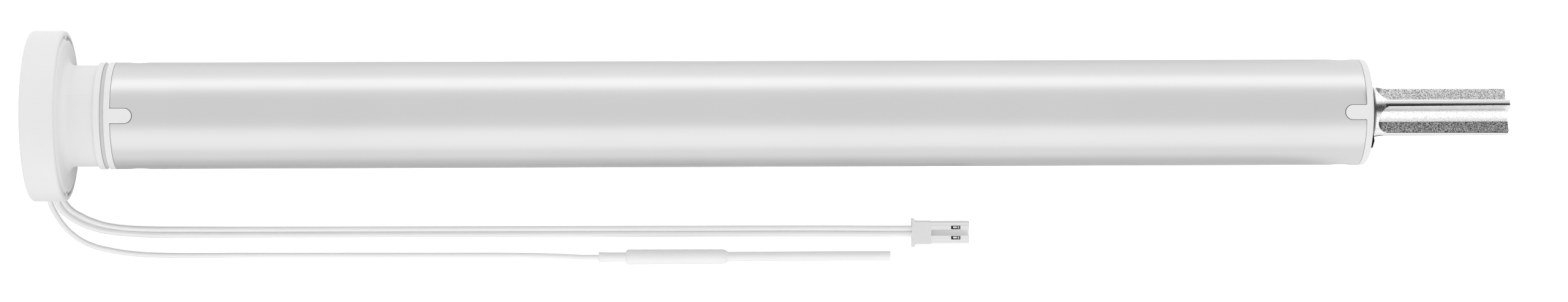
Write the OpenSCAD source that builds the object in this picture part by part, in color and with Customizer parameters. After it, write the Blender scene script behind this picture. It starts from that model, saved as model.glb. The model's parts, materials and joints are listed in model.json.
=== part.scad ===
// Tubular roller blind motor: a white head with its supply and antenna leads, an
// aluminium tube that holds the electronics, the DC motor and a three stage planetary
// gearbox, and a fluted drive shaft at the other end.
// X runs along the motor from the middle of the head's outer face to the drive shaft,
// and Z points up from the surface that the motor lies on. All sizes are in millimetres.

/* [Head] */
// Outer diameter of the head drum
drum_d = 44.8; // [42:0.2:50]
// Width of the drum along the motor
drum_w = 8.8; // [8:0.2:12]
// Thickness of the drum's rim
drum_wall = 1.3; // [1:0.1:2]
// Thickness of the drum's outer face
drum_floor = 2; // [1.5:0.1:2.6]
// Rounding of the drum's two outer edges
drum_edge_r = 0.7; // [0.4:0.1:1.2]
// Gap between the rim and the head plate
plate_gap = 0.4; // [0.2:0.1:0.8]
// How far the head plate stands out of the drum
plate_proud = 0.4; // [0.2:0.1:2]
// Thickness of the head plate
plate_t = 2.4; // [1.8:0.1:3]
// Rounding of the head plate's edge
plate_edge_r = 1.4; // [0.4:0.1:1.6]
// Wall of the skirt that the plate stands on
skirt_wall = 1.5; // [1:0.1:2]
// Diameter of the neck between head and tube
neck_d = 26.6; // [25.6:0.1:27]
// Length of the neck from the plate to the collar
neck_len = 8.4; // [5:0.1:14]
// Fillet between the plate and the neck
neck_fillet_r = 2; // [0.5:0.1:2.5]
// Wall of the hollow neck
neck_wall = 2.4; // [1.6:0.1:3]
// Width of a lug that snaps the drum onto the plate
lug_w = 2.4; // [1.6:0.1:4]
// How far a lug reaches in over the plate
lug_reach = 1; // [0.5:0.1:1.4]
// Circle on which the bracket screws stand
bracket_pcd = 32; // [31:0.5:33]
// Number of bracket screws
bracket_holes = 4; // [2:1:4]
// Diameter of the pilot hole of a bracket screw
bracket_hole_d = 3.5; // [2.6:0.1:3.8]
// Wall of the screw boss around a pilot hole
boss_wall = 1.4; // [1:0.1:1.5]

/* [Collar] */
// Width of the collar on the neck
collar_w = 1.7; // [1.2:0.1:3]
// How far collar and plug stand out over the tube
collar_proud = 0.05; // [0:0.05:0.5]
// Chamfer on the collar's edge
collar_chamfer = 0.3; // [0.1:0.1:0.6]
// Width of the rubber ring between collar and plug
isolator_w = 1.1; // [0.8:0.1:2]
// How deep the rubber ring lies under the collar
isolator_depth = 0.4; // [0.2:0.1:0.8]
// Width of the plug's ring in front of the tube
plug_ring_w = 1.7; // [1.2:0.1:3]
// How far the plug's sleeve reaches into the tube
plug_sleeve_len = 15.9; // [12:0.1:20]
// Wall of the spigot that the plug turns on
spigot_wall = 1.8; // [1.4:0.1:2.2]
// Thickness of the ring that locks the plug onto the spigot
lock_ring_w = 1.5; // [1:0.1:2.5]

/* [Tube] */
// Outer diameter of the tube
tube_d = 28; // [27.6:0.1:30]
// Wall of the tube
tube_wall = 1; // [0.8:0.1:1.2]
// Length of the tube
tube_len = 327.3; // [300:1:500]
// Width of the tabs that lock plug and cap in the tube
tab_w = 4.15; // [3:0.05:6]
// Length of the tabs from the tube's end
tab_len = 5.6; // [4:0.1:7.4]
// Distance of the crimps from the tube's end
crimp_in = 8.6; // [7.8:0.1:10]
// Diameter of the crimping punch
crimp_d = 3; // [2:0.1:4]
// Depth of a crimp, less than the wall
crimp_depth = 0.45; // [0.2:0.05:0.6]

/* [End cap] */
// Width of the cap's flange
cap_flange_w = 2; // [1.4:0.1:3]
// Rounding of the flange's outer edge
cap_edge_r = 0.8; // [0.3:0.1:1.2]
// How far the cap reaches into the tube
cap_spigot_len = 12; // [11:0.1:16]
// Wall of the bush that the drive shaft turns in
bush_wall = 1.6; // [1:0.1:2.4]
// Thickness of the washer on the cap
washer_t = 0.8; // [0.5:0.1:1.2]
// Thickness of the clip that holds the shaft
clip_t = 0.7; // [0.5:0.1:1.4]
// Depth of the clip's groove in the shaft
clip_depth = 0.5; // [0.3:0.1:0.8]
// How far the clip's ring stands out of the shaft
clip_proud = 0.6; // [0.4:0.1:1.6]
// How far the clip's ear reaches from the axis
clip_ear_r = 10.5; // [9:0.1:12]
// Width of the clip's ear
clip_ear_w = 3.4; // [2:0.1:5]

/* [Drive shaft] */
// Diameter over the wings, and of the bearing journal
shaft_d = 12.8; // [11:0.1:13]
// Length of the shaft outside the cap
shaft_reach = 38; // [25:0.5:60]
// Thickness of a wing
wing_t = 1.85; // [1.4:0.05:2.4]
// Radius at the bottom of a flute
flute_r = 2.25; // [1.4:0.05:2.4]
// Length of the round collar between clip and flutes
shaft_collar_w = 1.1; // [0.5:0.1:2]
// How far the root of the shaft flares out beside the clip
root_flare = 0.45; // [0.1:0.05:0.7]
// Length of the flare
root_flare_len = 3; // [1.5:0.1:5]
// Chamfer at the end of the shaft
shaft_chamfer = 0.35; // [0.1:0.05:0.6]
// Angle of the first wing at rest, from +Y about the axis
wing_angle = 68; // [0:1:89]
// Diameter of the flatted tenon in the output carrier
tenon_d = 8; // [6:0.1:8.6]
// Width across the tenon's flats
tenon_flats = 6; // [4.5:0.1:6.5]

/* [Gearbox] */
// Teeth of each sun gear, in sixes so that three planets mesh
sun_teeth = 12; // [12:6:18]
// Teeth of each planet, in sixes for the same reason
planet_teeth = 18; // [18:6:24]
// Pressure angle of the teeth
pressure_angle = 25; // [24:1:27]
// Gap between meshing flanks, measured along the pitch circle
backlash = 0.09; // [0.06:0.01:0.12]
// Wall of the ring gear behind its teeth
ring_wall = 1.61; // [1.2:0.01:2]
// Face width of the first stage, next to the motor
face_1 = 5; // [4:0.5:8]
// Face width of the second stage
face_2 = 6; // [4:0.5:10]
// Face width of the third stage, which drives the shaft
face_3 = 8; // [5:0.5:12]
// Thickness of the first and second carriers
carrier_t = 2; // [1.5:0.1:3]
// Thickness of the output carrier
output_carrier_t = 3; // [2:0.1:4]
// Diameter of the planet pins
pin_d = 2; // [1.6:0.1:2.4]
// Thickness of the plate between gearbox and motor
motor_plate_t = 2.6; // [2.2:0.1:4]
// Diameter of the two motor screws
motor_screw_d = 2.5; // [2:0.1:2.6]

/* [Motor] */
// Length of the motor's steel can
can_len = 42; // [36:1:60]
// Thickness of the rubber bands around the can
damper_t = 0.95; // [0.6:0.05:1.4]
// Width of each rubber band
damper_w = 6; // [4:0.5:9]
// Wall of the can
can_wall = 1; // [0.7:0.1:1.2]
// Thickness of the magnets
magnet_t = 1.6; // [1.2:0.1:2]
// Diameter of the motor's shaft
rotor_shaft_d = 2.5; // [2:0.1:2.6]
// Air gap between magnets and rotor
air_gap = 0.4; // [0.3:0.05:0.6]
// Length of the laminated rotor
stack_len = 24; // [18:1:26]
// Teeth of the laminated rotor
poles = 5; // [3:2:7]
// Diameter of the commutator
commutator_d = 7; // [6:0.1:8]
// Length of the commutator
commutator_len = 5; // [4:0.1:6]
// Thickness of the plastic end bell
end_bell_t = 4; // [3:0.1:6]
// Diameter of the speed magnet on the rear of the shaft
encoder_d = 9; // [7:0.1:11]
// Thickness of the speed magnet
encoder_t = 3; // [2:0.1:4]

/* [Electronics] */
// Length of the circuit board
board_len = 150; // [110:1:165]
// Width of the circuit board
board_w = 20; // [18:0.1:20.6]
// Thickness of the circuit board
board_t = 1.6; // [1:0.1:2]
// Height of the board's underside, below the axis
board_drop = 4; // [3:0.1:5]
// Wall of the tray that holds the board
tray_wall = 1.4; // [1:0.1:1.6]
// Diameter of the buffer capacitor
capacitor_d = 8; // [6:0.1:9]
// Length of the buffer capacitor
capacitor_len = 14; // [10:1:20]

/* [Leads] */
// Diameter of a supply lead
lead_d = 1.5; // [1.2:0.05:1.5]
// Diameter of the antenna wire
antenna_d = 1.35; // [1:0.05:1.35]
// Diameter of the sleeve on the antenna wire
sleeve_d = 2.7; // [2.2:0.1:3.4]
// Diameter of the shrink tube over the antenna joint
shrink_d = 4.1; // [3.4:0.1:4.1]
// Diameter of the antenna's outer tube
antenna_tube_d = 2.6; // [2:0.1:3.4]
// Length of the shrink tube
shrink_len = 27.4; // [15:0.1:27.4]
// Rounding of the shrink tube's ends
shrink_edge_r = 0.7; // [0.2:0.1:1]
// Width of the plug's body
connector_w = 6.3; // [5.6:0.1:7]
// Height of the plug's body
connector_h = 4.4; // [4:0.1:5]
// Length of the plug behind its rails
connector_rear_len = 4.4; // [3:0.1:7]
// Length of the plug's two rails
connector_rail_len = 10.3; // [8.5:0.1:12]
// Width over the plug's two ears
connector_ear_w = 7.7; // [7.2:0.1:9]
// Thickness of the ears
connector_ear_t = 1; // [0.6:0.1:1.6]
// Width of the groove between the rails
connector_groove_w = 1.6; // [1.2:0.1:1.8]
// Depth of the groove between the rails
connector_groove_depth = 1.8; // [0.8:0.1:2]
// Width of a metal contact
contact_w = 1.1; // [0.9:0.1:1.2]
// Length of a metal contact
contact_len = 7; // [5:0.1:8]

/* [Clearances] */
// Gap around parts that are pushed or glued in place
seat_gap = 0.05; // [0.03:0.01:0.1]
// Gap around parts that turn
running_gap = 0.04; // [0.03:0.01:0.08]
// Gap along the axis beside gears and carriers
end_gap = 0.3; // [0.2:0.05:0.5]

/* [Hidden] */
$fn = 48;
eps = 0.01;

// Stations along the motor
x_rim = drum_w;
x_plate = x_rim + plate_proud;
x_collar = x_plate + neck_len;
x_isolator = x_collar + collar_w;
x_plug = x_isolator + isolator_w;
x_tube = x_plug + plug_ring_w;
x_plug_end = x_tube + plug_sleeve_len;
x_spigot_end = x_plug_end + lock_ring_w + 0.5;
x_tube_end = x_tube + tube_len;
x_cap = x_tube_end + cap_flange_w;
x_cap_in = x_tube_end - cap_spigot_len;
x_clip = x_cap + washer_t + 0.1;
x_flute = x_clip + clip_t + shaft_collar_w;
x_shaft_end = x_cap + shaft_reach;

// Gear sizes: the ring gear fills the tube, and its teeth set the module
tube_in_r = tube_d / 2 - tube_wall;
insert_r = tube_in_r - seat_gap;
addendum = 0.95;
dedendum = 1.2;
ring_teeth = sun_teeth + 2 * planet_teeth;
gear_module = (insert_r - ring_wall) / (ring_teeth / 2 + dedendum);
pin_circle_r = gear_module * (sun_teeth + planet_teeth) / 2;
carrier_r = pin_circle_r + pin_d / 2 + 1.3;
planets = 3;

// Gearbox stations, from the cap back to the motor
x_out_carrier = x_cap_in - end_gap - output_carrier_t;
x_stage_3 = x_out_carrier - end_gap - face_3;
x_carrier_2 = x_stage_3 - end_gap - carrier_t;
x_stage_2 = x_carrier_2 - end_gap - face_2;
x_carrier_1 = x_stage_2 - end_gap - carrier_t;
x_stage_1 = x_carrier_1 - end_gap - face_1;
x_gearbox = x_stage_1 - end_gap;
x_motor = x_gearbox - motor_plate_t;

// Motor stations and radii, from its front back to the speed magnet
sensor_t = 1.2;
x_can_end = x_motor - can_len;
x_bell_end = x_can_end - end_bell_t;
x_sensor = x_bell_end - sensor_t;
x_encoder = x_sensor - end_gap - encoder_t;
winding_room = 4;
winding_rear = 1;
x_stack_end = x_motor - can_wall - winding_room;
x_stack = x_stack_end - stack_len;
x_commutator = x_stack - winding_rear - commutator_len;
can_r = insert_r - damper_t;
magnet_out_r = can_r - can_wall - seat_gap;
rotor_r = magnet_out_r - magnet_t - air_gap;
motor_bush_r = 3;
motor_bush_len = 3;
motor_screw_r = 8;
screw_head_t = 1.2;
terminal_y = 8;
terminal_t = 0.5;
terminal_len = 4;
motor_lead_r = 0.6;
brush_w = 2.4;
brush_out_r = can_r - can_wall - 1.5;
brush_margin = 1;
holder_wall = 0.8;
bell_rim = 3;

// Circuit board stations
x_tray = x_spigot_end + 1;
x_board = x_tray + 2;
x_board_end = x_board + board_len;
tray_out_r = insert_r;
tray_in_r = tray_out_r - tray_wall;
board_top = board_t - board_drop;
ledge_in = board_w / 2 - 2;
ledge_t = 2;
tray_rim = 0.6;
radio_in = 30;
x_radio = x_board + radio_in;
radio_size = [18, 14, 2.4];
radio_gap = 10;
x_capacitor = x_radio + radio_size[0] + radio_gap;
capacitor_gap = 6;
x_chips = x_capacitor + capacitor_len + capacitor_gap;
chips = 4;
chip_pitch = 9;
chip_size = [5, 10, 1.6];

// Radii in the head
drum_r = drum_d / 2;
drum_in_r = drum_r - drum_wall;
plate_r = drum_in_r - plate_gap;
neck_r = neck_d / 2;
collar_r = tube_d / 2 + collar_proud;
isolator_r = collar_r - isolator_depth;
spigot_r = insert_r - 2.4;
spigot_in_r = spigot_r - spigot_wall;

// Inside the head the three leads lie in a row under the spigot's wall, and end in a header
// in front of the board
inner_pitch = 1.8;
inner_margin = 0.8;
inner_bend_r = 2;
inner_lead_r = [for (k = [2:-1:0]) spigot_in_r - inner_margin - lead_d / 2 - k * inner_pitch];
header_margin = 1.9;
header_out = inner_lead_r[2] / sqrt(2) + header_margin;
header_side = 1;
header_rise = 3;
header_lip = 6;
x_header = x_spigot_end + 0.5;
header_low = [x_header, -header_out, -header_out];
header_high = [x_board, header_side, board_top + header_rise];

// The leads leave the drum low on the -Y side, and lie on the surface under the motor.
// Their points are in millimetres.
floor_z = -drum_r;
exit_angle = 225;
exit_depth = 0.48;
exit_r = drum_r - exit_depth;
exit_notch_w = 2.2;
exit_x = [0.9, 2.6, 4.25];
notch_depth = exit_x[2] + lead_d / 2 + 0.2;
grommet_r = sqrt(pow(plate_r - skirt_wall, 2) - pow(exit_notch_w, 2)) - seat_gap;
grommet_foot_t = 2;
lead_a_path = [
    [4.25, -15.5, -15.5], [4.25, -16.5, -16.5], [4.2, -17.9, -17.9], [4.1, -19.3, -19.2],
    [4.1, -20.8, -20.5], [4.1, -22.3, -21.3], [5.1, -24.0, -21.45], [6.1, -25.1, -21.45],
    [7.5, -26.1, -21.45], [9.0, -26.9, -21.45], [10.5, -27.7, -21.45], [12.1, -28.3, -21.45],
    [14.5, -29.1, -21.45], [17.5, -29.7, -21.45], [21.0, -30.1, -21.45],
    [26.6, -30.4, -21.45], [36.0, -30.5, -21.45], [69.0, -30.6, -21.45],
    [118.0, -30.7, -21.45], [168.0, -30.8, -21.45], [212.0, -30.9, -21.45],
    [222.0, -31.0, -21.2], [229.0, -31.0, -20.4], [232.0, -31.0, -20.4]
];
lead_b_path = [
    [2.6, -15.5, -15.5], [2.6, -16.5, -16.5], [2.5, -17.9, -17.9], [2.4, -19.4, -19.3],
    [2.4, -21.0, -20.6], [2.6, -22.8, -21.35], [3.7, -25.0, -21.45], [4.9, -26.3, -21.45],
    [6.5, -27.5, -21.45], [8.2, -28.5, -21.45], [9.9, -29.3, -21.45], [11.5, -29.9, -21.45],
    [14.0, -30.7, -21.45], [17.2, -31.3, -21.45], [20.8, -31.7, -21.45],
    [26.6, -32.1, -21.45], [36.0, -32.2, -21.45], [69.0, -32.3, -21.45],
    [118.0, -32.4, -21.45], [168.0, -32.5, -21.45], [212.0, -32.6, -21.45],
    [222.0, -32.7, -21.2], [229.0, -32.7, -20.4], [232.0, -32.7, -20.4]
];
antenna_path = [
    [0.9, -15.5, -15.5], [0.9, -16.5, -16.5], [0.8, -18.0, -18.0], [0.6, -19.6, -19.5],
    [0.5, -21.3, -20.8], [0.7, -23.2, -21.4], [1.4, -25.0, -21.5], [2.4, -26.8, -21.5],
    [3.7, -28.7, -21.5], [5.3, -30.6, -21.5], [6.9, -32.0, -21.5], [8.7, -33.3, -21.5],
    [11.8, -34.8, -21.5], [16.7, -36.1, -21.5], [23.2, -37.1, -21.5], [30.0, -37.5, -21.5],
    [53.0, -37.6, -21.5], [102.0, -37.8, -21.5], [130.0, -38.0, -21.5],
    [139.0, -38.3, -21.2], [145.0, -38.5, -20.15], [147.7, -38.5, -20.15]
];
x_sleeve = 147.7;
x_shrink = 155.1;
antenna_y = -38.5;
antenna_z = -20.15;
antenna_tube_path = [
    [182.5, -38.5, -20.15], [185.5, -38.5, -20.15], [190.0, -38.5, -20.3],
    [196.0, -38.5, -20.6], [203.0, -38.5, -20.85], [214.0, -38.5, -20.9],
    [226.5, -38.5, -20.9]
];
x_connector = 232;
connector_y = -32.2;
x_rails = x_connector + connector_ear_t + connector_rear_len;
x_connector_end = x_rails + connector_rail_len;
contact_pitch = 2.77;
contact_top = floor_z + connector_h - 1.5;
contact_t = 0.9;
window_x = [5.4, 7.9];

white = "#f2f2f1";
black = "#202022";
steel = "#b9bcc0";
brass = "#c9a24a";
nylon = "#e6dfcf";
board_green = "#2f6b46";

// Draws a flat shape in the YZ plane and stretches it from x0 to x1
module along_x(x0, x1)
    translate([x0, 0, 0]) rotate([90, 0, 90]) linear_extrude(x1 - x0) children();

module rod(x0, x1, r) along_x(x0, x1) circle(r);

module ring(x0, x1, outer, inner)
    along_x(x0, x1) difference() {
        circle(outer);
        circle(inner);
    }

// Turns a profile about the motor's axis: its x is the radius and its y the station
module turned() rotate([90, 0, 90]) rotate_extrude() children();

// Block from its low corner to its high corner
module block(low, high) translate(low) cube(high - low);

// Rectangle with two rounded corners on its far side, the side away from the axis
module turned_plate(y0, y1, r, edge_low, edge_high) {
    translate([0, y0 + edge_low]) square([r, y1 - y0 - edge_low - edge_high]);
    translate([0, y0]) square([r - edge_low, edge_low + eps]);
    translate([0, y1 - edge_high - eps]) square([r - edge_high, edge_high + eps]);
    if (edge_low > 0) translate([r - edge_low, y0 + edge_low]) mirror([0, 1]) quarter(edge_low);
    if (edge_high > 0) translate([r - edge_high, y1 - edge_high]) quarter(edge_high);
}

module quarter(r) intersection() {
    circle(r);
    translate([-eps, -eps]) square(r + 2 * eps);
}

// Tab outline seen from above: straight, then half round, growing along +X
module tab_plan(w, len) {
    translate([0, -w / 2]) square([len - w / 2, w]);
    translate([len - w / 2, 0]) circle(w / 2);
}

// Tab that fills a slot in the tube's top, with the tube's own curve
module tube_tab(x0, direction, w, len, r_in, r_out)
    intersection() {
        ring(x0 - len - 1, x0 + len + 1, r_out, r_in);
        translate([x0, 0, 0]) mirror([direction < 0 ? 1 : 0, 0, 0])
            linear_extrude(r_out + 1) tab_plan(w, len);
    }

function unit(v) = v / norm(v);

function heading(path, i) = unit(path[min(i + 1, len(path) - 1)] - path[max(i - 1, 0)]);

function hoop(centre, along, r, sides) =
    let (u = unit(cross(along, [0, 0, 1])), v = cross(u, along))
    [for (k = [0:sides - 1]) centre + r * (cos(360 * k / sides) * u + sin(360 * k / sides) * v)];

// Round lead of a given diameter along a path
module lead(path, d, sides = 8) {
    last = len(path) - 1;
    points = [for (i = [0:last]) each hoop(path[i], heading(path, i), d / 2, sides)];
    walls = [for (i = [0:last - 1], k = [0:sides - 1])
        let (a = i * sides + k, b = i * sides + (k + 1) % sides)
        each [[a, a + sides, b + sides], [a, b + sides, b]]];
    ends = [for (k = [1:sides - 2])
        each [[0, k, k + 1], [last * sides, last * sides + k + 1, last * sides + k]]];
    polyhedron(points, concat(walls, ends));
}

// Involute teeth
function involute(a) = tan(a) * 180 / PI - a;

// Half the angle of a tooth at radius r, thinned on each flank
function half_tooth(r, teeth, thin) =
    let (
        pitch_r = gear_module * teeth / 2,
        base_r = pitch_r * cos(pressure_angle),
        a = r > base_r ? acos(base_r / r) : 0
    )
    90 / teeth - thin / pitch_r * 180 / PI + involute(pressure_angle) - involute(a);

function tooth_points(teeth, root_r, tip_r, thin, steps = 3) =
    let (
        base_r = gear_module * teeth / 2 * cos(pressure_angle),
        start_r = max(root_r, base_r),
        radii = concat(
            root_r < base_r ? [root_r] : [],
            [for (k = [0:steps]) start_r + (tip_r - start_r) * k / steps]
        ),
        n = len(radii)
    )
    [for (t = [0:teeth - 1], j = [0:2 * n - 1])
        let (
            r = j < n ? radii[j] : radii[2 * n - 1 - j],
            side = j < n ? -1 : 1,
            a = 360 * t / teeth + side * half_tooth(max(r, start_r), teeth, thin)
        )
        r * [cos(a), sin(a)]];

module gear_outline(teeth)
    polygon(tooth_points(teeth, gear_module * (teeth / 2 - dedendum),
        gear_module * (teeth / 2 + addendum), backlash / 4));

// Shape to cut out of the ring gear: a gear whose teeth are the ring's spaces
module ring_space_outline()
    polygon(tooth_points(ring_teeth, gear_module * (ring_teeth / 2 - addendum),
        gear_module * (ring_teeth / 2 + dedendum), -backlash / 4));

// Turn of a planet that meshes it with the sun at its place around the carrier
function planet_turn(place) =
    180 + 180 / planet_teeth + place * (1 + sun_teeth / planet_teeth);

module planet(x0, width, index) {
    place = 360 / planets * index;
    color(nylon)
        along_x(x0, x0 + width)
            rotate(place) translate([pin_circle_r, 0]) rotate(planet_turn(place) - place)
                difference() {
                    gear_outline(planet_teeth);
                    circle(pin_d / 2 + running_gap);
                }
}

// Carrier disc with three pins that reach back through its planets
module carrier_disc(x0, thickness, pin_len) {
    rod(x0, x0 + thickness, carrier_r);
    for (k = [0:planets - 1])
        along_x(x0 - pin_len, x0 + eps)
            rotate(360 / planets * k) translate([pin_circle_r, 0]) circle(pin_d / 2);
}

module sun(x0, x1) along_x(x0, x1) gear_outline(sun_teeth);

// Head

module exit_notch(r_in, r_out, x1)
    rotate([exit_angle, 0, 0])
        block([-eps, r_in, -exit_notch_w / 2], [x1, r_out, exit_notch_w / 2]);

module bracket_circle() for (k = [0:bracket_holes - 1])
    rotate([360 / bracket_holes * k, 0, 0]) translate([0, bracket_pcd / 2, 0]) children();

// White cup that covers the plate, with the bracket holes in its outer face
module head_drum() color(white) {
    difference() {
        turned() turned_plate(0, x_rim, drum_r, drum_edge_r, drum_edge_r);
        rod(drum_floor, x_rim + 1, drum_in_r);
        exit_notch(grommet_r - eps, drum_r + 1, notch_depth);
        bracket_circle() rod(-1, drum_floor + 1, bracket_hole_d / 2);
    }
    for (side = [-1, 1]) snap_lug(side);
}

// Lug on the rim that hooks over the edge of the plate
module snap_lug(side)
    intersection() {
        ring(x_rim - drum_edge_r - 1, x_rim, drum_r - drum_edge_r, drum_in_r - lug_reach);
        block(
            [0, side > 0 ? 0 : -drum_r, -lug_w / 2],
            [x_rim, side > 0 ? drum_r : 0, lug_w / 2]
        );
    }

// Plate, skirt, neck, collar and the spigot inside the tube, moulded in one
module head_body() color(white) difference() {
    union() {
        turned() turned_plate(x_plate - plate_t, x_plate, plate_r, 0, plate_edge_r);
        ring(drum_floor, x_plate - plate_t + eps, plate_r, plate_r - skirt_wall);
        bracket_circle() rod(drum_floor, x_plate - plate_t + eps, bracket_hole_d / 2 + boss_wall);
        turned() neck_profile();
        rod(x_isolator - eps, x_spigot_end, spigot_r);
    }
    rod(x_plate - plate_t - 1, x_isolator - 1, neck_r - neck_wall);
    rod(x_plate, x_spigot_end + 1, spigot_in_r);
    bracket_circle() rod(drum_floor - 1, x_plate - plate_t, bracket_hole_d / 2);
    exit_notch(grommet_r - 1, plate_r + 1, notch_depth);
    for (side = [-1, 1]) lug_recess(side);
}

module neck_profile() {
    square_from = x_plate - eps;
    translate([0, square_from]) square([neck_r, x_collar - square_from + eps]);
    difference() {
        translate([0, square_from]) square([neck_r + neck_fillet_r, neck_fillet_r + eps]);
        translate([neck_r + neck_fillet_r, x_plate + neck_fillet_r]) circle(neck_fillet_r);
    }
    polygon([
        [0, x_collar], [collar_r - collar_chamfer, x_collar],
        [collar_r, x_collar + collar_chamfer], [collar_r, x_isolator], [0, x_isolator]
    ]);
}

// Notch in the plate's edge that a lug of the drum drops into
module lug_recess(side)
    block(
        [x_rim - drum_edge_r - 1 - end_gap, side > 0 ? drum_in_r - lug_reach - 0.4 : -drum_r, -lug_w],
        [x_plate + 1, side > 0 ? drum_r : 0.4 + lug_reach - drum_in_r, lug_w]
    );

// Rubber grommet that grips the three leads: a neck in the drum's notch, and a wider
// foot behind the skirt that keeps it from being pulled out
module cord_grommet() color(black) rotate([exit_angle, 0, 0]) {
    block(
        [0.1, grommet_r - eps, seat_gap - exit_notch_w / 2],
        [notch_depth - seat_gap, exit_r, exit_notch_w / 2 - seat_gap]
    );
    block(
        [drum_floor, grommet_r - grommet_foot_t, -exit_notch_w],
        [x_plate - plate_t, grommet_r, exit_notch_w]
    );
}

module isolator_ring() color("#c3c3c2")
    ring(x_isolator, x_plug, isolator_r, spigot_r + seat_gap);

// Plug in the tube's end, with a tab that keeps it from turning
module head_plug() color(white) difference() {
    union() {
        rod(x_plug, x_tube, collar_r);
        rod(x_tube - eps, x_plug_end, insert_r);
        tube_tab(x_tube - eps, 1, tab_w, tab_len, insert_r - 0.5, tube_d / 2);
    }
    rod(x_plug - 1, x_plug_end + 1, spigot_r + seat_gap);
}

module plug_lock_ring() color(black)
    ring(x_plug_end, x_plug_end + lock_ring_w, insert_r - 1, spigot_r + seat_gap);

// Tube and cap

module crimps(x) for (side = [-1, 1])
    translate([x, side * (tube_d / 2 + crimp_d / 2 - crimp_depth), 0]) sphere(crimp_d / 2);

module tube() color("#c9cacc") difference() {
    ring(x_tube, x_tube_end, tube_d / 2, tube_in_r);
    tube_slot(x_tube, 1);
    tube_slot(x_tube_end, -1);
    crimps(x_tube + crimp_in);
    crimps(x_tube_end - crimp_in);
}

module tube_slot(x, direction)
    translate([x, 0, 0]) mirror([direction < 0 ? 1 : 0, 0, 0])
        translate([-1, 0, 0]) linear_extrude(tube_d)
            tab_plan(tab_w + 2 * seat_gap, tab_len + 1 + seat_gap);

module end_cap() color(white) difference() {
    union() {
        turned() turned_plate(x_tube_end, x_cap, tube_d / 2, 0, cap_edge_r);
        rod(x_cap_in, x_tube_end + eps, insert_r);
        tube_tab(x_tube_end + eps, -1, tab_w, tab_len, insert_r - 0.5, tube_d / 2);
    }
    rod(x_cap_in - 1, x_cap + 1, shaft_d / 2 + bush_wall + seat_gap);
}

module output_bush() color(brass)
    ring(x_cap_in, x_cap, shaft_d / 2 + bush_wall, shaft_d / 2 + running_gap);

module thrust_washer() color(nylon)
    ring(x_cap, x_cap + washer_t, shaft_d / 2 + 3, shaft_d / 2 + running_gap);

// Open clip in the shaft's groove, with one ear to prise it off by
module shaft_clip() color(black) along_x(x_clip, x_clip + clip_t) difference() {
    union() {
        circle(shaft_d / 2 + clip_proud);
        rotate(145) translate([0, -clip_ear_w / 2]) square([clip_ear_r, clip_ear_w]);
    }
    circle(shaft_d / 2 - clip_depth + seat_gap);
    rotate(145 + 180) translate([0, -clip_ear_w / 2]) square([clip_ear_r, clip_ear_w]);
}

// Drive shaft: journal, clip groove, and four flutes that leave a cross of wings
module drive_shaft() color("#a9abae") difference() {
    union() {
        rod(x_cap_in - end_gap, x_shaft_end - shaft_chamfer, shaft_d / 2);
        turned() polygon([
            [0, x_shaft_end - shaft_chamfer - eps], [shaft_d / 2, x_shaft_end - shaft_chamfer - eps],
            [shaft_d / 2 - shaft_chamfer, x_shaft_end], [0, x_shaft_end]
        ]);
        along_x(x_out_carrier, x_cap_in - end_gap + eps) rotate(wing_angle) tenon_outline(0);
        turned() root_flare_profile();
    }
    ring(x_clip - seat_gap, x_clip + clip_t + seat_gap, shaft_d, shaft_d / 2 - clip_depth);
    for (k = [0:3]) rotate([wing_angle + 90 * k, 0, 0]) flute();
}

// Concave flare beside the clip that runs out into the shaft
module root_flare_profile() {
    x0 = x_clip + clip_t;
    arc_r = (pow(root_flare_len, 2) + pow(root_flare, 2)) / (2 * root_flare);
    difference() {
        translate([0, x0]) square([shaft_d / 2 + root_flare, root_flare_len]);
        translate([shaft_d / 2 + arc_r, x0 + root_flare_len]) circle(arc_r, $fn = 180);
    }
}

module tenon_outline(gap) intersection() {
    circle(tenon_d / 2 + gap);
    square([tenon_d + 1, tenon_flats + 2 * gap], center = true);
}

// One flute between two wings. Its start is rounded, a little wider than the flute's mouth
module flute() {
    corner = wing_t / 2 + flute_r;
    reach = shaft_d;
    half_mouth = (sqrt(pow(shaft_d / 2, 2) - pow(wing_t / 2, 2)) - wing_t / 2) / sqrt(2);
    run_out_r = half_mouth + 0.2;
    intersection() {
        along_x(x_flute, x_shaft_end + 1) {
            translate([corner, corner]) circle(flute_r);
            translate([corner, wing_t / 2]) square(reach);
            translate([wing_t / 2, corner]) square(reach);
        }
        rotate([45, 0, 0]) rotate([-90, 0, 0]) linear_extrude(2 * reach) {
            translate([x_flute + run_out_r, 0]) circle(run_out_r);
            translate([x_flute + run_out_r, -reach]) square([shaft_reach, 2 * reach]);
        }
    }
}

// Gearbox

module output_carrier() color(steel) difference() {
    carrier_disc(x_out_carrier, output_carrier_t, face_3 + end_gap);
    along_x(x_out_carrier - 1, x_cap_in) rotate(wing_angle) tenon_outline(seat_gap);
}

module ring_gear() color(steel) along_x(x_gearbox, x_cap_in) difference() {
    circle(insert_r);
    rotate(planet_teeth % 2 == 0 ? 180 / ring_teeth : 0) ring_space_outline();
}

module carrier_2() color(steel) {
    carrier_disc(x_carrier_2, carrier_t, face_2 + end_gap);
    sun(x_carrier_2 + carrier_t - eps, x_stage_3 + face_3);
}

module carrier_1() color(steel) {
    carrier_disc(x_carrier_1, carrier_t, face_1 + end_gap);
    sun(x_carrier_1 + carrier_t - eps, x_stage_2 + face_2);
}

module motor_pinion() color(brass) along_x(x_stage_1, x_stage_1 + face_1) difference() {
    gear_outline(sun_teeth);
    circle(rotor_shaft_d / 2 + 0.01);
}

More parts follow.
